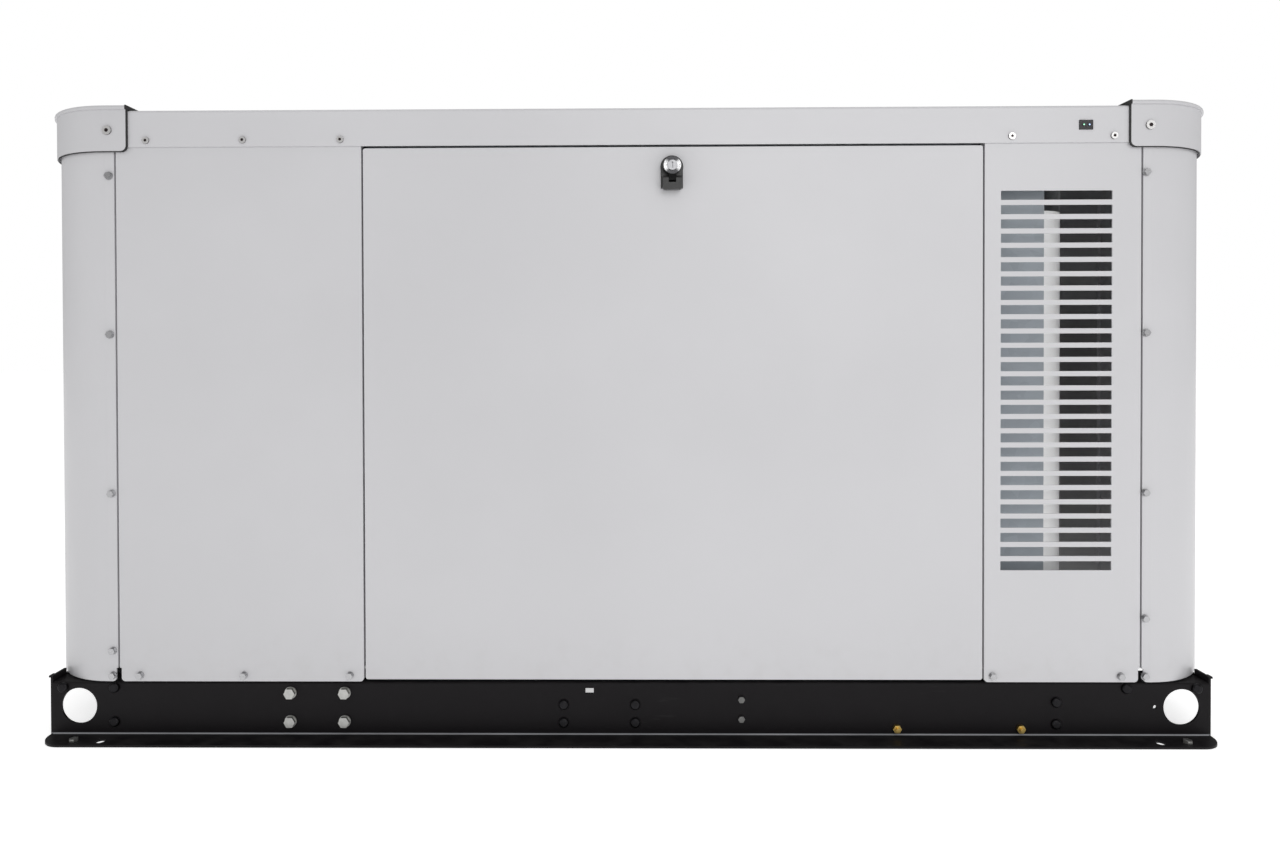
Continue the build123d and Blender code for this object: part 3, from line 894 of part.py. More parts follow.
BOX_X0, BOX_X1, BOX_Y0, BOX_Y1, BOX_Z0, BOX_Z1 = -338.0, -112.0, -304.0, -214.0, 566.0, 770.0
PANEL_FACE_Y = BOX_Y0 - 3
BUTTONS_X, BUTTON_Z, BUTTON_R = (-300.0, -268.0, -236.0), 606.0, 8.0
BREAKER_X, BREAKER_Z = -160.0, 660.0
with BuildPart() as control_box:
    block(BOX_X0, BOX_X1, BOX_Y0, BOX_Y1, BOX_Z0, BOX_Z1)
    fillet(control_box.edges().filter_by(Axis.Y), 4.0)
    block(BOX_X0 + 2, BOX_X1 - 2, BOX_Y0 - 1, BOX_Y1 - 2, BOX_Z0 + 2, BOX_Z1 - 2, Mode.SUBTRACT)
    block(-300, -150, BOX_Y1 - 2, BOX_Y1, BOX_Z1, FRAME_TOP + 1)
    block(BREAKER_X - 24, BREAKER_X + 24, BOX_Y0, BOX_Y1 - 2, BREAKER_Z - 50, BREAKER_Z + 50)
    block(BREAKER_X - 9, BREAKER_X + 9, BOX_Y0 - 1, BOX_Y0 + 34, BREAKER_Z - 28, BREAKER_Z + 28, Mode.SUBTRACT)
    rod_x(BREAKER_X - 14, BREAKER_X + 14, BOX_Y0 + 16, BREAKER_Z, 3.0 + FIT, Mode.SUBTRACT)
finish(control_box.part, "control_box")

with BuildPart() as control_panel:
    block(BOX_X0, BOX_X1, PANEL_FACE_Y, BOX_Y0, BOX_Z0, BOX_Z1)
    fillet(control_panel.edges().filter_by(Axis.Y), 4.0)
    block(-316, -212, PANEL_FACE_Y - 3, PANEL_FACE_Y, 656, 738)
    block(-310, -218, PANEL_FACE_Y - 4, PANEL_FACE_Y - 2, 664, 730, Mode.SUBTRACT)
    for x in BUTTONS_X:
        rod_y(x, PANEL_FACE_Y - 1, BOX_Y0 + 1, BUTTON_Z, BUTTON_R + 0.3, Mode.SUBTRACT)
    block(BREAKER_X - 12, BREAKER_X + 12, PANEL_FACE_Y - 1, BOX_Y0 + 1, BREAKER_Z - 31, BREAKER_Z + 31,
          Mode.SUBTRACT)
finish(control_panel.part, "control_panel")

for button_name, x in zip(("auto_button", "manual_button", "off_button"), BUTTONS_X):
    with BuildPart() as mode_button:
        rod_y(x, PANEL_FACE_Y - 2.6, BOX_Y0 + 1, BUTTON_Z, BUTTON_R)
        rod_y(x, BOX_Y0 + 0.6, BOX_Y0 + 3, BUTTON_Z, BUTTON_R + 2)
    finish(mode_button.part, button_name)

with BuildPart() as breaker_lever:
    rod_x(BREAKER_X - 13.5, BREAKER_X + 13.5, BOX_Y0 + 16, BREAKER_Z, 3.0)
    rod_x(BREAKER_X - 8.5, BREAKER_X + 8.5, BOX_Y0 + 16, BREAKER_Z, 9.0)
    block(BREAKER_X - 8, BREAKER_X + 8, BOX_Y0 - 9, BOX_Y0 + 14, BREAKER_Z - 5, BREAKER_Z + 5)
finish(breaker_lever.part, "breaker_lever")
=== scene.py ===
"""Home standby generator: finishes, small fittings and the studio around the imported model."""

import math

import bpy
from bpy.props import FloatProperty, FloatVectorProperty, PointerProperty
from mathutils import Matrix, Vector


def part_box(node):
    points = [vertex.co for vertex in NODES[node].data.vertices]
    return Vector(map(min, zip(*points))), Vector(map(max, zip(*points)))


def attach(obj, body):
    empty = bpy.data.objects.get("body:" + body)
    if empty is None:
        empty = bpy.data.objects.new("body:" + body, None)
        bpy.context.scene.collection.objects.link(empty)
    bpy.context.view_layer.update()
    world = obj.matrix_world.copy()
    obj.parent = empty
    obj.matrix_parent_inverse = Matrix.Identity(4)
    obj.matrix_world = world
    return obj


bl_info = {
    "name": "Home Standby Generator",
    "version": (1, 0, 0),
    "blender": (4, 5, 0),
    "location": "3D View > Sidebar > Generator",
    "description": "Finishes a liquid-cooled standby generator and sets up its studio",
    "category": "Object",
}

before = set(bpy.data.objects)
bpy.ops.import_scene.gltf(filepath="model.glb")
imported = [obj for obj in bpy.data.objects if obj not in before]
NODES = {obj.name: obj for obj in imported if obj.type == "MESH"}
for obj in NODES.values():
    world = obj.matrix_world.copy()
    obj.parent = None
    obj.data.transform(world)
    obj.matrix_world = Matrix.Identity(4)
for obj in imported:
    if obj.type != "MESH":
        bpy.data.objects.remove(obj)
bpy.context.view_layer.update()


def colour_prop(name, description, default):
    """A colour that a user may change."""
    return FloatVectorProperty(
        name=name, description=description, default=default, subtype="COLOR", min=0.0, max=1.0
    )


class EnclosureSettings(bpy.types.PropertyGroup):
    """Powder-coated sheet metal of the enclosure."""

    paint: colour_prop("Paint", "Light grey of the powder coat", (0.575, 0.572, 0.588))
    grime: colour_prop("Grime", "Dust that settles on the lower edges", (0.30, 0.28, 0.25))
    hex_heads: colour_prop("Hex screws", "Zinc of the hexagon washer heads", (0.46, 0.46, 0.47))
    buttons: colour_prop("Roof screws", "Bright button heads of the roof and its caps", (0.86, 0.85, 0.84))
    gloss: FloatProperty(
        name="Roughness", description="Roughness of the coat", default=0.36, min=0.05, max=1.0
    )
    peel: FloatProperty(
        name="Orange peel", description="Strength of the coat's fine ripple", default=0.10, min=0.0, max=1.0
    )


class BaseSettings(bpy.types.PropertyGroup):
    """Black base frame and its fasteners."""

    paint: colour_prop("Paint", "Black of the base frame", (0.0085, 0.0075, 0.0085))
    # The bend colour is a painted highlight along the bend of the foot, where the bend catches the light.
    bend: colour_prop("Bend", "Rubbed line along the bend of the foot", (0.36, 0.37, 0.39))
    zinc: colour_prop("Zinc", "Plating of the bolts and screws", (0.56, 0.56, 0.54))
    brass: colour_prop("Brass", "Yellow plating of the ground screws", (0.62, 0.44, 0.14))


class MachinerySettings(bpy.types.PropertyGroup):
    """Engine, alternator and everything else inside."""

    casting: colour_prop("Casting", "Painted iron of the engine", (0.055, 0.058, 0.062))
    aluminium: colour_prop("Aluminium", "Bare castings", (0.52, 0.52, 0.51))
    galvanised: colour_prop("Galvanised", "Zinc-coated sheet of the discharge duct", (0.38, 0.42, 0.46))
    rubber: colour_prop("Rubber", "Hoses, mounts and belt", (0.018, 0.018, 0.018))
    plastic: colour_prop("Plastic", "Moulded covers", (0.022, 0.022, 0.024))
    foam_depth: FloatProperty(
        name="Foam depth", description="Thickness of the door's sound foam", default=0.011,
        min=0.004, max=0.014, subtype="DISTANCE", unit="LENGTH",
    )


class StudioSettings(bpy.types.PropertyGroup):
    """Camera, lights and floor."""

    lens: FloatProperty(
        name="Lens", description="Focal length for a 36 mm sensor", default=23.94, min=10.0, max=200.0,
        subtype="DISTANCE_CAMERA",
    )
    place: FloatVectorProperty(
        name="Camera", description="Where the camera stands", default=(-0.0060, -1.4719, 0.5256),
        subtype="TRANSLATION", unit="LENGTH",
    )
    floor: colour_prop("Floor", "Pale studio floor", (0.87, 0.87, 0.87))
    floor_glow: FloatProperty(
        name="Floor glow", description="Light of the floor itself", default=0.60, min=0.0
    )
    surround: FloatProperty(
        name="Surround", description="Light of the white surround on the model", default=0.50, min=0.0
    )
    key: FloatProperty(
        name="Key", description="Power in watts that the soft lights scale", default=20.0, min=0.0
    )


# ---- Node trees ---------------------------------------------------------------------------------
class Value:
    """A number socket that answers to Python's arithmetic."""

    def __init__(self, shader, socket):
        self.shader, self.socket = shader, socket

    def _maths(self, operation, first, second):
        return self.shader.add("ShaderNodeMath", {"operation": operation}, {0: first, 1: second})

    def __add__(self, other):
        return self._maths("ADD", self, other)

    def __sub__(self, other):
        return self._maths("SUBTRACT", self, other)

    def __rsub__(self, other):
        return self._maths("SUBTRACT", other, self)

    def __mul__(self, other):
        return self._maths("MULTIPLY", self, other)

    def __pow__(self, other):
        return self._maths("POWER", self, other)

    __radd__, __rmul__ = __add__, __mul__

    def __abs__(self):
        return self._maths("ABSOLUTE", self, 0.0)


class Shader:
    """One material's node tree, ending in a Principled BSDF."""

    def __init__(self, name, **constants):
        self.material = bpy.data.materials.new(name)
        self.material.use_nodes = True
        self.tree = self.material.node_tree
        self.surface = self.tree.nodes["Principled BSDF"]
        for socket, value in constants.items():
            self.surface.inputs[socket.replace("_", " ")].default_value = value
        self.place = self.add("ShaderNodeTexCoord", {}, {}, out="Object")

    def add(self, kind, settings, sockets, out=0):
        """Adds a node: its settings first, then the values or links of its sockets."""
        node = self.tree.nodes.new(kind)
        for key, value in settings.items():
            if key == "stops":
                ramp = node.color_ramp.elements
                while len(ramp) < len(value):
                    ramp.new(0.5)
                for element, (position, colour) in zip(ramp, value):
                    element.position = position
                    element.color = (*colour, 1.0) if len(colour) == 3 else colour
            else:
                setattr(node, key, value)
        for key, value in sockets.items():
            socket = node.inputs[key]
            if isinstance(value, Value):
                self.tree.links.new(value.socket, socket)
            else:
                if socket.type == "RGBA" and len(value) == 3:
                    value = (*value, 1.0)
                socket.default_value = value
        return Value(self, node.outputs[out])

    def noise(self, scale, detail=3.0, roughness=0.55, at=None, stretch=None):
        """Noise at so many cells a metre, from 0 to 1."""
        at = at or self.place
        if stretch:
            at = self.add("ShaderNodeMapping", {}, {"Vector": at, "Scale": stretch})
        return self.add(
            "ShaderNodeTexNoise", {}, {"Vector": at, "Scale": scale, "Detail": detail, "Roughness": roughness}
        )

    def cells(self, scale, feature="F1", out="Distance", at=None):
        """Rounded cells, so many a metre."""
        return self.add(
            "ShaderNodeTexVoronoi", {"feature": feature}, {"Vector": at or self.place, "Scale": scale}, out=out
        )

    def band(self, value, low, high, start=0.0, end=1.0):
        """A smooth step of value between low and high."""
        return self.add(
            "ShaderNodeMapRange", {"interpolation_type": "SMOOTHSTEP"},
            {"Value": value, "From Min": low, "From Max": high, "To Min": start, "To Max": end},
        )

    def axis(self, letter):
        """The place on one axis, in metres."""
        return self.add("ShaderNodeSeparateXYZ", {}, {0: self.place}, out=letter)

    def facing(self, letter):
        """The part of the surface's own normal along an axis."""
        normal = self.add("ShaderNodeNewGeometry", {}, {}, out="Normal")
        return self.add("ShaderNodeSeparateXYZ", {}, {0: normal}, out=letter)

    def mix(self, factor, first, second):
        """A colour between two, by a factor."""
        return self.add(
            "ShaderNodeMix", {"data_type": "RGBA"}, {0: factor, 6: first, 7: second}, out=2
        )

    def link(self, socket, value):
        """Feeds one of the surface's own sockets."""
        self.tree.links.new(value.socket, self.surface.inputs[socket])

    def bump(self, height, strength, distance, after=None):
        """A normal tilted by a height, on top of another normal if there is one."""
        sockets = {"Height": height, "Strength": strength, "Distance": distance}
        if after:
            sockets["Normal"] = after
        return self.add("ShaderNodeBump", {}, sockets)


def powder_coat(name, colour, grime, roughness, peel, shade=1.0):
    """Satin powder coat: fine orange peel, faint drift in tone, dust near the ground, small rubbed spots."""
    s = Shader(name, Roughness=roughness, Specular_IOR_Level=0.42)
    drift = s.noise(1.9, 4.0)
    tone = [c * shade for c in colour]
    base = s.mix(s.band(drift, 0.3, 0.7), [c * 0.965 for c in tone], [min(1.0, c * 1.02) for c in tone])
    low = s.band(s.axis("Z"), 0.07, 0.17, 1.0, 0.0)
    dust = low * s.band(s.noise(38.0, 5.0), 0.42, 0.75) * 0.07
    rubbed = s.band(s.noise(240.0, 2.0), 0.70, 0.76) * s.band(s.noise(9.0, 2.0), 0.52, 0.66) * 0.08
    coloured = s.mix(dust, base, grime)
    coloured = s.mix(rubbed, coloured, [c * 0.62 for c in tone])
    s.link("Base Color", coloured)
    s.link("Roughness", s.noise(26.0, 3.0) * 0.10 + (roughness - 0.05) + dust * 0.4)
    ripple = s.bump(s.noise(620.0, 2.0), peel, 0.0006)
    s.link("Normal", s.bump(s.noise(7.0, 1.0), 0.05, 0.004, after=ripple))
    return s.material


def base_coat(name, colour, bend):
    """Black satin paint: dust on its ledges, fine scuffs and a painted highlight along the foot's bend."""
    s = Shader(name, Roughness=0.48, Specular_IOR_Level=0.11)
    scuff = s.band(s.noise(120.0, 4.0, stretch=(0.12, 1.0, 1.0)), 0.62, 0.74)
    scuff = scuff * s.band(s.noise(11.0), 0.52, 0.68)
    ledge = s.band(s.facing("Z"), 0.5, 0.95) * s.band(s.noise(45.0, 5.0), 0.35, 0.7)
    dusty = s.mix(ledge * 0.05, colour, (0.20, 0.19, 0.18))
    scuffed = s.mix(scuff * 0.10, dusty, (0.09, 0.088, 0.085))
    height, depth = s.axis("Z"), abs(s.axis("Y"))
    # Painted highlight: a pale strip on the fillet between web and flange, standing in for the top light that
    # the bend catches.
    bend_highlight = s.band(height, 0.0031, 0.0036) * s.band(height, 0.0046, 0.0056, 1.0, 0.0)
    bend_highlight = bend_highlight * s.band(depth, 0.3388, 0.3391) * (s.noise(26.0, 4.0, stretch=(0.3, 1.0, 1.0)) * 0.8 + 0.35)
    s.link("Base Color", s.mix(bend_highlight, scuffed, bend))
    s.link("Roughness", s.noise(30.0, 4.0) * 0.16 + 0.38 + ledge * 0.2)
    s.link("Normal", s.bump(s.noise(420.0, 3.0), 0.12, 0.0006))
    return s.material


def plated(name, colour, roughness=0.3, spangle=0.0):
    """Bright plated or galvanised metal; spangle is the size of its crystals in cells a metre."""
    s = Shader(name, Metallic=1.0, Roughness=roughness)
    cloud = s.noise(90.0, 4.0)
    tone = s.mix(s.band(cloud, 0.3, 0.75), [c * 0.78 for c in colour], colour)
    rough = s.noise(60.0, 3.0) * 0.22 + (roughness - 0.10)
    if spangle:
        crystal = s.cells(spangle, out="Color")
        grain = s.add("ShaderNodeSeparateColor", {}, {0: crystal})
        tone = s.mix(grain * 0.35, tone, [c * 0.62 for c in colour])
        rough = rough + grain * 0.16
    s.link("Base Color", tone)
    s.link("Roughness", rough)
    s.link("Normal", s.bump(s.noise(900.0, 2.0), 0.06, 0.0004))
    return s.material


def cast(name, colour, metallic=0.0, roughness=0.55):
    """A sand casting, bare or painted: pebbled skin with darker pits and oil-stained hollows."""
    s = Shader(name, Metallic=metallic, Roughness=roughness)
    pits = s.cells(420.0)
    stain = s.band(s.noise(14.0, 5.0), 0.45, 0.72)
    s.link("Base Color", s.mix(stain * 0.45, colour, [c * 0.5 for c in colour]))
    s.link("Roughness", s.noise(40.0, 3.0) * 0.2 + (roughness - 0.12))
    s.link("Normal", s.bump(pits, 0.32, 0.0012))
    return s.material


def moulded(name, colour, roughness=0.46, grain=900.0):
    """Moulded plastic or rubber with a fine leathery grain."""
    s = Shader(name, Roughness=roughness)
    worn = s.band(s.noise(30.0, 4.0), 0.55, 0.75)
    s.link("Base Color", s.mix(worn * 0.35, colour, [min(1.0, c * 1.7 + 0.006) for c in colour]))
    s.link("Roughness", s.noise(50.0, 2.0) * 0.14 + (roughness - 0.06))
    s.link("Normal", s.bump(s.cells(grain), 0.12, 0.0005))
    return s.material


def heat_tinted(name, colour):
    """Aluminised or iron exhaust metal with straw and blue heat bands and light rust."""
    s = Shader(name, Metallic=0.9, Roughness=0.42)
    tint = s.band(s.noise(6.0, 3.0), 0.35, 0.7)
    rust = s.band(s.noise(70.0, 6.0), 0.60, 0.74)
    warm = s.mix(tint * 0.5, colour, (0.42, 0.34, 0.22))
    s.link("Base Color", s.mix(rust * 0.6, warm, (0.16, 0.07, 0.035)))
    s.link("Roughness", rust * 0.35 + s.noise(34.0, 2.0) * 0.15 + 0.28)
    s.link("Normal", s.bump(s.noise(260.0, 4.0), 0.2, 0.001))
    return s.material


def windings(name, colour, ridges=45.0):
    """Varnished copper wire: fine parallel ridges around the shaft."""
    s = Shader(name, Metallic=0.55, Roughness=0.32, Coat_Weight=0.4)
    ridge = s.add(
        "ShaderNodeTexWave", {"bands_direction": "X"},
        {"Vector": s.place, "Scale": ridges, "Distortion": 0.6},
    )
    s.link("Base Color", s.mix(s.noise(45.0), colour, [c * 0.45 for c in colour]))
    s.link("Normal", s.bump(ridge, 0.4, 0.001))
    return s.material


def dress(names, material):
    """Gives CAD nodes a material in place of their own."""
    for name in names:
        for slot in NODES[name].material_slots:
            slot.material = material


def only(obj):
    """Leaves nothing selected but one object."""
    bpy.ops.object.select_all(action="DESELECT")
    obj.select_set(True)
    bpy.context.view_layer.objects.active = obj


def settle(obj, name, body, material):
    """Puts a finished piece's place in its mesh, names it, dresses it and lets it ride."""
    only(obj)
    bpy.ops.object.transform_apply(location=True, rotation=True, scale=True)
    obj.name = obj.data.name = name
    obj.data.materials.clear()
    obj.data.materials.append(material)
    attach(obj, body)
    return obj


def apply_bevel(obj, width, segments=2):
    """Breaks a piece's sharp edges and smooths what is left."""
    only(obj)
    modifier = obj.modifiers.new("edge", "BEVEL")
    modifier.width, modifier.segments, modifier.limit_method = width, segments, "ANGLE"
    bpy.ops.object.modifier_apply(modifier=modifier.name)
    bpy.ops.object.shade_smooth_by_angle(angle=math.radians(35))


def beveled_block(low, high, width=0.001):
    """A block between two corners with its edges broken."""
    bpy.ops.object.select_all(action="DESELECT")
    middle = [(a + b) / 2 for a, b in zip(low, high)]
    bpy.ops.mesh.primitive_cube_add(size=1.0, location=middle, scale=[b - a for a, b in zip(low, high)])
    piece = bpy.context.object
    bpy.ops.object.transform_apply(location=False, rotation=False, scale=True)
    apply_bevel(piece, width)
    return piece


def collar(place, axis, radius, height, wall):
    """A strap round a hose or a post, with its rolled edges and tightening screw."""
    turn = {"X": (0, math.pi / 2, 0), "Y": (math.pi / 2, 0, 0), "Z": (0, 0, 0)}[axis]
    bpy.ops.object.select_all(action="DESELECT")
    bpy.ops.mesh.primitive_cylinder_add(
        vertices=48, radius=radius, depth=height, end_fill_type="NOTHING", location=place, rotation=turn
    )
    strap = bpy.context.object
    only(strap)
    thick = strap.modifiers.new("wall", "SOLIDIFY")
    thick.thickness, thick.offset = wall, 1.0
    bpy.ops.object.modifier_apply(modifier=thick.name)
    apply_bevel(strap, wall * 0.3)
    place = Vector(place)
    out = Vector((0, -1, 0)) if axis != "Y" else Vector((-1, 0, 0))
    centre = place + out * (radius + wall + 0.0022)
    half = Vector((0.0055, 0.0024, 0.0055)) if axis != "Y" else Vector((0.0024, 0.0055, 0.0055))
    housing = beveled_block(centre - half, centre + half, 0.0008)
    bpy.ops.object.select_all(action="DESELECT")
    bpy.ops.mesh.primitive_cylinder_add(
        vertices=6, radius=0.0034, depth=0.004, location=centre + Vector((0, 0, 0.0070))
    )
    screw = bpy.context.object
    apply_bevel(screw, 0.0004)
    for piece in (strap, housing, screw):
        piece.select_set(True)
    bpy.context.view_layer.objects.active = strap
    bpy.ops.object.join()
    return strap


# ---- Operators ----------------------------------------------------------------------------------
class GEN_OT_enclosure(bpy.types.Operator):
    """Powder coat on the panels, posts, caps, roof and door"""

    bl_idname = "generator.enclosure"
    bl_label = "Enclosure"

    def execute(self, context):
        look = context.scene.generator_enclosure
        coat = powder_coat("powder_coat_grey", look.paint, look.grime, look.gloss, look.peel)
        cap_coat = powder_coat("powder_coat_caps", look.paint, look.grime, look.gloss, look.peel, shade=0.97)
        dress(
            ("corner_posts", "roof_panel", "left_front_panel", "front_louvre_panel", "rear_intake_panel",
             "rear_centre_panel", "rear_louvre_panel", "left_end_panel", "right_end_panel", "service_door"),
            coat,
        )
        dress(("corner_caps",), cap_coat)
        # The black of the cap trims is partly painted shade: it stands in for the shadow in the gap where each
        # cap stands proud of the posts. On the door seal it is the rubber's own black.
        dress(("cap_trims", "door_seal"), moulded("black_gasket_and_gap_shade", (0.012, 0.012, 0.012), 0.6, 700.0))
        dress(("door_frame",), plated("galvanised_sheet", (0.50, 0.54, 0.58), 0.40, 60.0))
        screws = Shader("screw_finishes_and_socket_shade", Metallic=1.0, Roughness=0.3)
        up, depth = screws.axis("Z"), abs(screws.axis("Y"))
        roof = screws.band(up, 0.788, 0.789)
        caps = screws.band(up, 0.8035, 0.8037)
        # Painted shade: the parts of the roof and cap screws that lie behind their heads' front faces, the
        # sockets among them, are coloured near black, standing in for the shade inside the sockets.
        socket_shade = roof * (1 - caps) * screws.band(depth, 0.3446, 0.3450, 1.0, 0.0)
        socket_shade = socket_shade + caps * screws.band(depth, 0.3472, 0.3476, 1.0, 0.0)
        worn = screws.noise(300.0, 3.0)
        heads = screws.mix(roof, look.hex_heads, look.buttons)
        heads = screws.mix(worn * 0.25, heads, [c * 0.5 for c in look.hex_heads])
        screws.link("Base Color", screws.mix(socket_shade, heads, (0.045, 0.035, 0.035)))
        screws.link("Roughness", worn * 0.16 + 0.2)
        screws.link("Normal", screws.bump(screws.noise(1200.0, 2.0), 0.05, 0.0003))
        dress(("enclosure_screws",), screws.material)
        return {"FINISHED"}


class GEN_OT_base(bpy.types.Operator):
    """Black base frame, its bolts and the door's pins"""

    bl_idname = "generator.base"
    bl_label = "Base"

    def execute(self, context):
        look = context.scene.generator_base
        dress(
            ("base_rail_front", "base_rail_rear", "base_cross_members"),
            base_coat("base_black", look.paint, look.bend),
        )
        zinc = plated("zinc_plate", look.zinc, 0.34)
        dress(("door_pivot_pins",), zinc)
        bolts = Shader("frame_bolt_finishes", Metallic=1.0, Roughness=0.36)
        across, up = bolts.axis("X"), bolts.axis("Z")
        low = bolts.band(up, 0.0175, 0.0180, 1.0, 0.0)
        yellow = low * bolts.band(across, 0.349, 0.350) * bolts.band(across, 0.533, 0.534, 1.0, 0.0)
        foot = bolts.band(up, 0.0075, 0.0080, 1.0, 0.0) * (1 - yellow)
        hexes = bolts.band(across, -0.465, -0.464) * bolts.band(across, -0.365, -0.364, 1.0, 0.0)
        studs = bolts.band(across, 0.145, 0.146) * bolts.band(across, 0.160, 0.161, 1.0, 0.0)
        bright = 1 - (1 - foot) * (1 - hexes) * (1 - studs * 0.3)
        worn = bolts.noise(160.0, 4.0)
        black = bolts.mix(worn, (0.010, 0.010, 0.011), (0.030, 0.029, 0.031))
        silver = bolts.mix(worn, [c * 0.55 for c in look.zinc], look.zinc)
        finish = bolts.mix(yellow, bolts.mix(bright, black, silver), look.brass)
        bolts.link("Base Color", finish)
        bolts.link("Roughness", worn * 0.2 + 0.26)
        bolts.link("Normal", bolts.bump(bolts.noise(900.0, 2.0), 0.08, 0.0004))
        dress(("frame_bolts",), bolts.material)
        return {"FINISHED"}


class GEN_OT_latch(bpy.types.Operator):
    """Latch housing, barrel, lever and key plug"""

    bl_idname = "generator.latch"
    bl_label = "Latch"

    def execute(self, context):
        black = moulded("latch_black", (0.007, 0.007, 0.007), 0.30, 1400.0)
        dress(("latch_housing", "latch_lever"), black)
        low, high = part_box("latch_key_plug")
        middle = (low + high) / 2
        turned = Shader("latch_face_painted_glints", Metallic=1.0, Roughness=0.3)
        across, up = turned.axis("X") - middle.x, turned.axis("Z") - middle.z
        radius = (across * across + up * up) ** 0.5
        front = turned.band(turned.axis("Y"), -0.35755, -0.35745, 1.0, 0.0)
        front = front * turned.band(radius, 0.0113, 0.0115, 1.0, 0.0)
        # Painted highlights: the silver face is coloured bright left and right of its centre and dark above
        # and below, standing in for the wedges of light that a turned face catches.
        painted_glints = turned.band(abs(across) - abs(up) * 1.2, -0.004, 0.005)
        face = turned.mix(painted_glints, (0.10, 0.10, 0.105), (0.86, 0.86, 0.87))
        rings = turned.add("ShaderNodeMath", {"operation": "SINE"}, {0: radius * 6200.0})
        turned.link("Base Color", turned.mix(front, (0.012, 0.012, 0.012), face))
        turned.link("Roughness", turned.noise(300.0) * 0.1 + 0.22)
        turned.link("Normal", turned.bump(rings, 0.35, 0.0003))
        dress(("latch_barrel",), turned.material)
        dress(("latch_key_plug",), plated("key_plug_bright", (0.30, 0.30, 0.31), 0.22))
        return {"FINISHED"}


class GEN_OT_status_light(bpy.types.Operator):
    """Smoked status window in the roof's lip, with its two lit lenses"""

    bl_idname = "generator.status_light"
    bl_label = "Status light"

    def execute(self, context):
        dress(("status_light",), moulded("smoked_window", (0.010, 0.010, 0.012), 0.16, 2000.0))
        low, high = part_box("status_light")
        middle = (low + high) / 2
        for index, (offset, colour) in enumerate(((-0.0036, (0.35, 0.9, 0.55)), (0.0036, (0.45, 0.65, 1.0)))):
            s = Shader(f"lens_{index}", Base_Color=(*colour, 1.0), Roughness=0.15, Emission_Strength=0.9)
            glow = s.noise(700.0, 1.0)
            s.link("Emission Color", s.mix(glow, colour, [c * 0.75 for c in colour]))
            bpy.ops.object.select_all(action="DESELECT")
            bpy.ops.mesh.primitive_uv_sphere_add(
                segments=24, ring_count=12, radius=0.0016,
                location=(middle.x + offset, low.y + 0.0012, middle.z),
            )
            dome = context.object
            bpy.ops.object.shade_smooth()
            settle(dome, f"status_lens_{index}", "frame", s.material)
        return {"FINISHED"}


class GEN_OT_engine(bpy.types.Operator):
    """Engine castings, pan, covers, manifolds and their fittings"""

    bl_idname = "generator.engine"
    bl_label = "Engine"

    def execute(self, context):
        look = context.scene.generator_machinery
        dress(("engine_block",), cast("engine_paint", look.casting, 0.0, 0.45))
        dress(("cylinder_head", "intake_manifold"), cast("bare_aluminium", look.aluminium, 1.0, 0.48))
        dress(("oil_pan", "starter_motor"), moulded("black_enamel", (0.014, 0.014, 0.015), 0.3, 300.0))
        dress(("oil_filter",), moulded("filter_white", (0.62, 0.62, 0.58), 0.3, 500.0))
        dress(("valve_cover",), cast("wrinkle_black", (0.018, 0.018, 0.02), 0.0, 0.6))
        dress(("oil_filler_cap", "air_cleaner"), moulded("moulded_black", look.plastic, 0.44, 700.0))
        dress(("dipstick",), moulded("dipstick_yellow", (0.62, 0.42, 0.03), 0.35, 900.0))
        dress(("crankshaft", "crank_pulley"), plated("machined_steel", (0.34, 0.34, 0.35), 0.34))
        dress(("exhaust_manifold",), heat_tinted("manifold_iron", (0.16, 0.13, 0.11)))
        dress(("muffler",), heat_tinted("aluminised_steel", (0.48, 0.48, 0.47)))
        dress(("drive_belt", "coolant_hoses"), moulded("black_rubber", look.rubber, 0.55, 500.0))
        dress(("vibration_mounts",), moulded("mount_rubber", look.rubber, 0.66, 400.0))
        return {"FINISHED"}


class GEN_OT_alternator(bpy.types.Operator):
    """Alternator frame, stator and rotor"""

    bl_idname = "generator.alternator"
    bl_label = "Alternator"

    def execute(self, context):
        look = context.scene.generator_machinery
        dress(("alternator_frame",), cast("alternator_paint", look.casting, 0.0, 0.42))
        dress(("stator",), windings("stator_copper", (0.42, 0.17, 0.06)))
        dress(("rotor",), windings("rotor_copper", (0.30, 0.15, 0.08)))
        return {"FINISHED"}


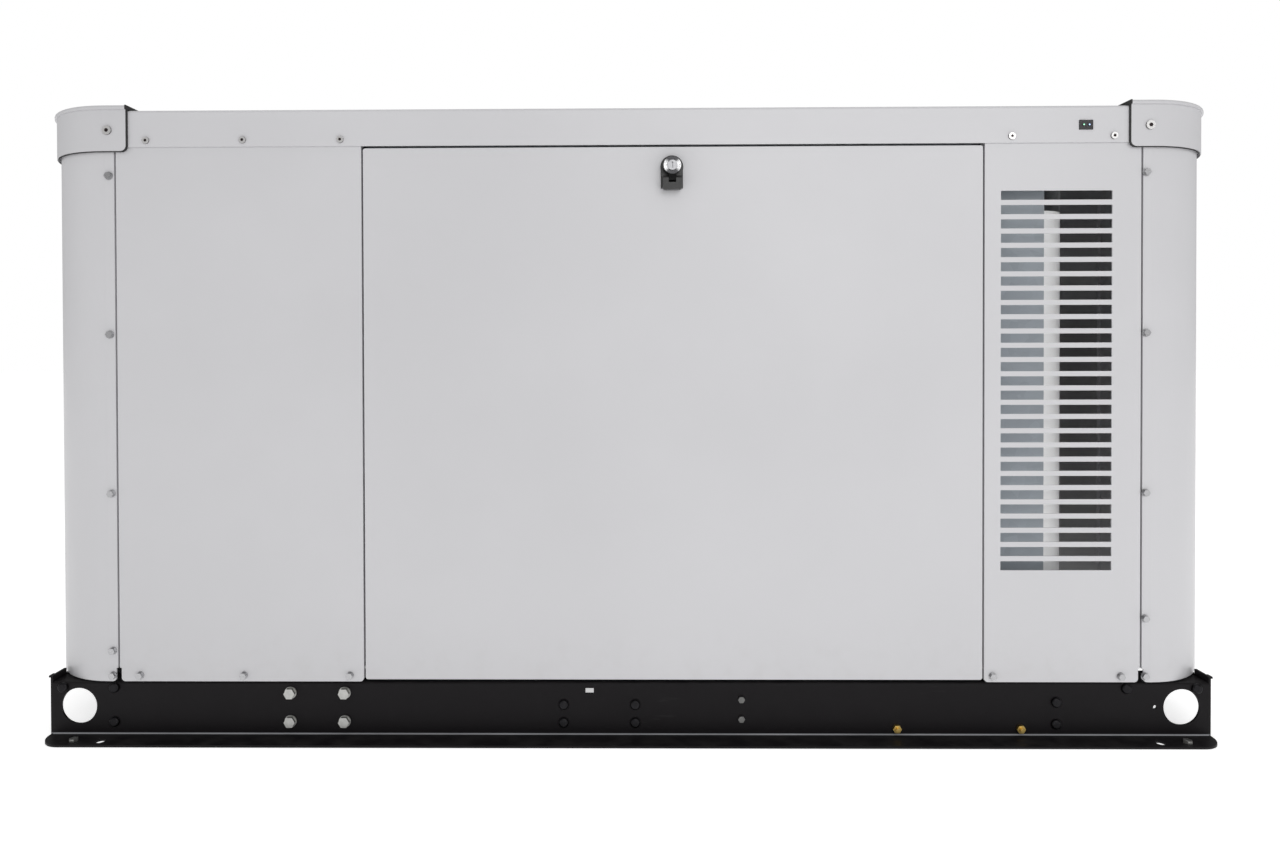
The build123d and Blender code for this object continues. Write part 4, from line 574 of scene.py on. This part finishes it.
class GEN_OT_cooling(bpy.types.Operator):
    """Radiator, fan, shroud, bulkhead and duct"""

    bl_idname = "generator.cooling"
    bl_label = "Cooling"

    def execute(self, context):
        look = context.scene.generator_machinery
        galvanised = plated("galvanised_duct", (0.50, 0.56, 0.62), 0.34, 55.0)
        dress(("bulkhead",), galvanised)
        duct = Shader("duct_sheet_painted_highlight", Metallic=0.0, Roughness=0.42, Specular_IOR_Level=0.6)
        # Painted highlight: past x = 0.568 m, where the sheet curves back, it is coloured near white, standing
        # in for the light it catches through the louvres.
        turn = duct.band(duct.axis("X"), 0.5676, 0.5682)
        crystal = duct.add("ShaderNodeSeparateColor", {}, {0: duct.cells(55.0, out="Color")})
        sheet = duct.mix(crystal * 0.5, look.galvanised, [c * 0.82 for c in look.galvanised])
        sheet = duct.mix(duct.noise(9.0, 4.0) * 0.4, sheet, [c * 0.7 for c in look.galvanised])
        duct.link("Base Color", duct.mix(turn, sheet, (0.93, 0.93, 0.93)))
        duct.link("Roughness", crystal * 0.2 + 0.34)
        duct.link("Normal", duct.bump(duct.noise(300.0), 0.05, 0.0005))
        dress(("discharge_duct",), duct.material)
        core = Shader("radiator_black", Roughness=0.4)
        fins = core.add("ShaderNodeTexWave", {"bands_direction": "Z"}, {"Vector": core.place, "Scale": 60.0})
        core.link("Base Color", core.mix(core.noise(50.0), (0.016, 0.016, 0.017), (0.032, 0.032, 0.033)))
        core.link("Normal", core.bump(fins, 0.6, 0.002))
        dress(("radiator",), core.material)
        dress(("radiator_fan", "fan_shroud"), moulded("fan_black", look.plastic, 0.4, 600.0))
        dress(("radiator_cap",), plated("cap_plate", (0.62, 0.62, 0.60), 0.28))
        return {"FINISHED"}


class GEN_OT_controls(bpy.types.Operator):
    """Control box, panel, buttons, breaker, battery and gas train"""

    bl_idname = "generator.controls"
    bl_label = "Controls"

    def execute(self, context):
        look = context.scene.generator_machinery
        dress(("control_box",), powder_coat("box_grey", (0.20, 0.20, 0.21), (0.2, 0.2, 0.2), 0.4, 0.12))
        dress(("control_panel",), moulded("panel_black", look.plastic, 0.36, 1200.0))
        for name, colour in (("auto_button", (0.03, 0.28, 0.08)), ("manual_button", (0.03, 0.10, 0.42)),
                             ("off_button", (0.50, 0.02, 0.02))):
            dress((name,), moulded(name + "_plastic", colour, 0.3, 1200.0))
        dress(("breaker_lever",), moulded("breaker_black", look.plastic, 0.4, 900.0))
        dress(("battery",), moulded("battery_case", (0.018, 0.018, 0.02), 0.42, 500.0))
        dress(("battery_cables",), moulded("cable_red", (0.26, 0.012, 0.01), 0.4, 700.0))
        dress(("gas_train",), cast("gas_fittings", (0.34, 0.34, 0.33), 0.8, 0.45))
        return {"FINISHED"}


class GEN_OT_door_foam(bpy.types.Operator):
    """Sound foam on the inside of the service door, moulded in rows of low pyramids"""

    bl_idname = "generator.door_foam"
    bl_label = "Door foam"

    def execute(self, context):
        look = context.scene.generator_machinery
        low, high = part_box("service_door")
        skin, edge, pitch = low.y + 0.0021, 0.030, 0.036
        x0, x1, z0, z1 = low.x + edge, high.x - edge, low.z + 0.040, high.z - 0.062
        front, back = skin + look.foam_depth, skin
        bpy.ops.object.select_all(action="DESELECT")
        bpy.ops.mesh.primitive_cube_add(
            size=1.0, location=((x0 + x1) / 2, (front + back) / 2, (z0 + z1) / 2),
            scale=(x1 - x0, front - back, z1 - z0),
        )
        foam = context.object
        bpy.ops.object.transform_apply(location=True, rotation=True, scale=True)
        bpy.ops.object.mode_set(mode="EDIT")
        bpy.ops.mesh.select_all(action="DESELECT")
        bpy.ops.object.mode_set(mode="OBJECT")
        for face in foam.data.polygons:
            face.select = face.normal.y > 0.9
        bpy.ops.object.mode_set(mode="EDIT")
        bpy.ops.mesh.subdivide(number_cuts=95)
        bpy.ops.object.mode_set(mode="OBJECT")
        for vertex in foam.data.vertices:
            inside = min(vertex.co.x - x0, x1 - vertex.co.x, vertex.co.z - z0, z1 - vertex.co.z)
            if vertex.co.y > front - 0.0001 and inside > 0.004:
                wave = math.sin(math.tau * vertex.co.x / pitch) * math.sin(math.tau * vertex.co.z / pitch)
                vertex.co.y -= (0.5 - 0.5 * wave) * look.foam_depth * 0.6 * min(1.0, inside / 0.02)
        bpy.ops.object.shade_smooth_by_angle(angle=math.radians(50))
        s = Shader("sound_foam", Roughness=0.95, Specular_IOR_Level=0.1)
        s.link("Base Color", s.mix(s.noise(160.0, 4.0), (0.030, 0.030, 0.033), (0.060, 0.060, 0.064)))
        s.link("Normal", s.bump(s.cells(900.0), 0.6, 0.001))
        settle(foam, "door_foam", "door", s.material)
        return {"FINISHED"}


class GEN_OT_clamps(bpy.types.Operator):
    """Worm-drive clamps on the coolant hoses and lead clamps on the battery's posts"""

    bl_idname = "generator.clamps"
    bl_label = "Clamps"

    def execute(self, context):
        bright = plated("clamp_zinc", (0.66, 0.66, 0.65), 0.26)
        for index, (place, axis) in enumerate((
            ((0.262, -0.066, 0.590), "Z"), ((0.453, -0.066, 0.664), "Z"),
            ((0.3045, 0.062, 0.430), "Y"), ((0.452, 0.134, 0.176), "Z"),
        )):
            clamp = collar(place, axis, 0.0131, 0.009, 0.0008)
            settle(clamp, f"hose_clamp_{index}", "frame", bright)
        lead = plated("battery_lead", (0.36, 0.36, 0.37), 0.5)
        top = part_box("battery")[1].z
        for index, x in enumerate((-0.650, -0.550)):
            clamp = collar((x, -0.205, top - 0.0065), "Z", 0.0081, 0.010, 0.0042)
            settle(clamp, f"battery_clamp_{index}", "frame", lead)
        return {"FINISHED"}


class GEN_OT_coils(bpy.types.Operator):
    """Ignition coils in a row on the valve cover"""

    bl_idname = "generator.coils"
    bl_label = "Ignition coils"

    def execute(self, context):
        black = moulded("coil_black", (0.014, 0.014, 0.015), 0.42, 900.0)
        seat, first, pitch = 0.618, -0.008, 0.070
        for index in range(4):
            x = first + pitch * index
            body = beveled_block((x - 0.014, 0.018, seat), (x + 0.014, 0.042, seat + 0.018), 0.002)
            crown = beveled_block((x - 0.009, 0.021, seat + 0.0178), (x + 0.009, 0.037, seat + 0.0235), 0.0015)
            plug = beveled_block((x - 0.006, 0.0405, seat + 0.004), (x + 0.006, 0.0495, seat + 0.013), 0.001)
            for piece in (crown, plug, body):
                piece.select_set(True)
            bpy.context.view_layer.objects.active = body
            bpy.ops.object.join()
            settle(body, f"ignition_coil_{index}", "frame", black)
        return {"FINISHED"}


class GEN_OT_display(bpy.types.Operator):
    """Lit window of the controller, with plain level bars"""

    bl_idname = "generator.display"
    bl_label = "Display"

    def execute(self, context):
        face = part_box("control_panel")[0].y + 0.0021
        left, right, bottom, top = -0.3095, -0.2185, 0.6645, 0.7295
        rows_per_metre = 76.0
        pane = beveled_block((left, face - 0.0008, bottom), (right, face - 0.0001, top), 0.0002)
        s = Shader("display_glass", Roughness=0.12, Emission_Strength=0.5)
        across, up = s.axis("X"), s.axis("Z")
        rows = s.add("ShaderNodeMath", {"operation": "FRACT"}, {0: (up - bottom) * rows_per_metre})
        bars = s.band(rows, 0.34, 0.36) * s.band(rows, 0.62, 0.64, 1.0, 0.0)
        reach = s.add("ShaderNodeMath", {"operation": "FLOOR"}, {0: (up - bottom) * rows_per_metre})
        bars = bars * s.band(across + reach * 0.008, -0.2500, -0.2495, 1.0, 0.0)
        bars = bars * s.band(across, -0.302, -0.3015)
        s.link("Base Color", s.mix(bars, (0.03, 0.07, 0.06), (0.01, 0.02, 0.02)))
        s.link("Emission Color", s.mix(bars, (0.10, 0.34, 0.28), (0.01, 0.03, 0.03)))
        settle(pane, "display_glass", "frame", s.material)
        return {"FINISHED"}


class GEN_OT_studio(bpy.types.Operator):
    """Pale floor, soft light and the camera"""

    bl_idname = "generator.studio"
    bl_label = "Studio"

    def execute(self, context):
        look = context.scene.generator_studio
        bpy.ops.object.select_all(action="DESELECT")
        bpy.ops.mesh.primitive_plane_add(size=30.0, location=(0, 0, -0.0005))
        floor = context.object
        floor.name = "studio_floor"
        s = Shader("studio_floor", Roughness=0.9, Specular_IOR_Level=0.1, Emission_Strength=look.floor_glow)
        s.link("Base Color", s.mix(s.noise(3.0, 2.0), look.floor, [c * 0.99 for c in look.floor]))
        s.link("Emission Color", s.mix(s.noise(2.0, 2.0), (1.0, 1.0, 1.0), (0.99, 0.99, 0.99)))
        floor.data.materials.append(s.material)

        context.scene.view_settings.view_transform = "Standard"
        world = bpy.data.worlds.new("studio")
        context.scene.world = world
        world.use_nodes = True
        world.node_tree.nodes["Background"].inputs["Color"].default_value = (1.0, 1.0, 1.0, 1.0)
        tree = world.node_tree
        seen = tree.nodes.new("ShaderNodeLightPath")
        strength = tree.nodes.new("ShaderNodeMapRange")
        strength.inputs["To Min"].default_value, strength.inputs["To Max"].default_value = look.surround, 1.0
        tree.links.new(seen.outputs["Is Camera Ray"], strength.inputs["Value"])
        tree.links.new(strength.outputs["Result"], tree.nodes["Background"].inputs["Strength"])

        for name, place, turn, size, power in (
            ("front_soft", (0.9, -3.0, 1.5), (74, 0, 16), (2.0, 1.6), look.key * 1.15),
            ("top_soft", (0.0, 0.0, 3.0), (0, 0, 0), (3.4, 2.4), look.key * 0.7),
            ("left_soft", (-3.0, -1.4, 1.4), (74, 0, -64), (1.4, 1.8), look.key * 0.12),
        ):
            bpy.ops.object.light_add(type="AREA", location=place, rotation=[math.radians(a) for a in turn])
            light = context.object
            light.name = name
            light.data.shape, light.data.size, light.data.size_y = "RECTANGLE", size[0], size[1]
            light.data.energy = power

        bpy.ops.object.camera_add(
            location=look.place, rotation=[math.radians(a) for a in (89.428, 0.158, 0.553)]
        )
        camera = context.object
        camera.name = "camera"
        camera.data.lens, camera.data.sensor_width = look.lens, 36.0
        camera.data.shift_x, camera.data.shift_y = 0.0208, -0.0579
        camera.data.clip_end = 60.0
        context.scene.camera = camera
        return {"FINISHED"}


STEPS = (
    GEN_OT_studio, GEN_OT_enclosure, GEN_OT_base, GEN_OT_latch, GEN_OT_status_light, GEN_OT_engine,
    GEN_OT_alternator, GEN_OT_cooling, GEN_OT_controls, GEN_OT_door_foam, GEN_OT_clamps, GEN_OT_coils,
    GEN_OT_display,
)


class GEN_PT_panel(bpy.types.Panel):
    """Lists the generator's settings and steps"""

    bl_idname = "GEN_PT_panel"
    bl_label = "Standby generator"
    bl_space_type = "VIEW_3D"
    bl_region_type = "UI"
    bl_category = "Generator"

    def draw(self, context):
        layout = self.layout
        for group in SETTINGS:
            settings = getattr(context.scene, group)
            box = layout.box()
            box.label(text=group.replace("generator_", "").title())
            for name in settings.__annotations__:
                box.prop(settings, name)
        for step in STEPS:
            layout.operator(step.bl_idname)


SETTINGS = {
    "generator_enclosure": EnclosureSettings,
    "generator_base": BaseSettings,
    "generator_machinery": MachinerySettings,
    "generator_studio": StudioSettings,
}
CLASSES = (*SETTINGS.values(), *STEPS, GEN_PT_panel)


def register():
    for cls in CLASSES:
        bpy.utils.register_class(cls)
    for name, group in SETTINGS.items():
        setattr(bpy.types.Scene, name, PointerProperty(type=group))


def unregister():
    for name in SETTINGS:
        delattr(bpy.types.Scene, name)
    for cls in reversed(CLASSES):
        bpy.utils.unregister_class(cls)


def main():
    register()
    for step in STEPS:
        category, name = step.bl_idname.split(".")
        getattr(getattr(bpy.ops, category), name)()


if __name__ == "__main__":
    main()
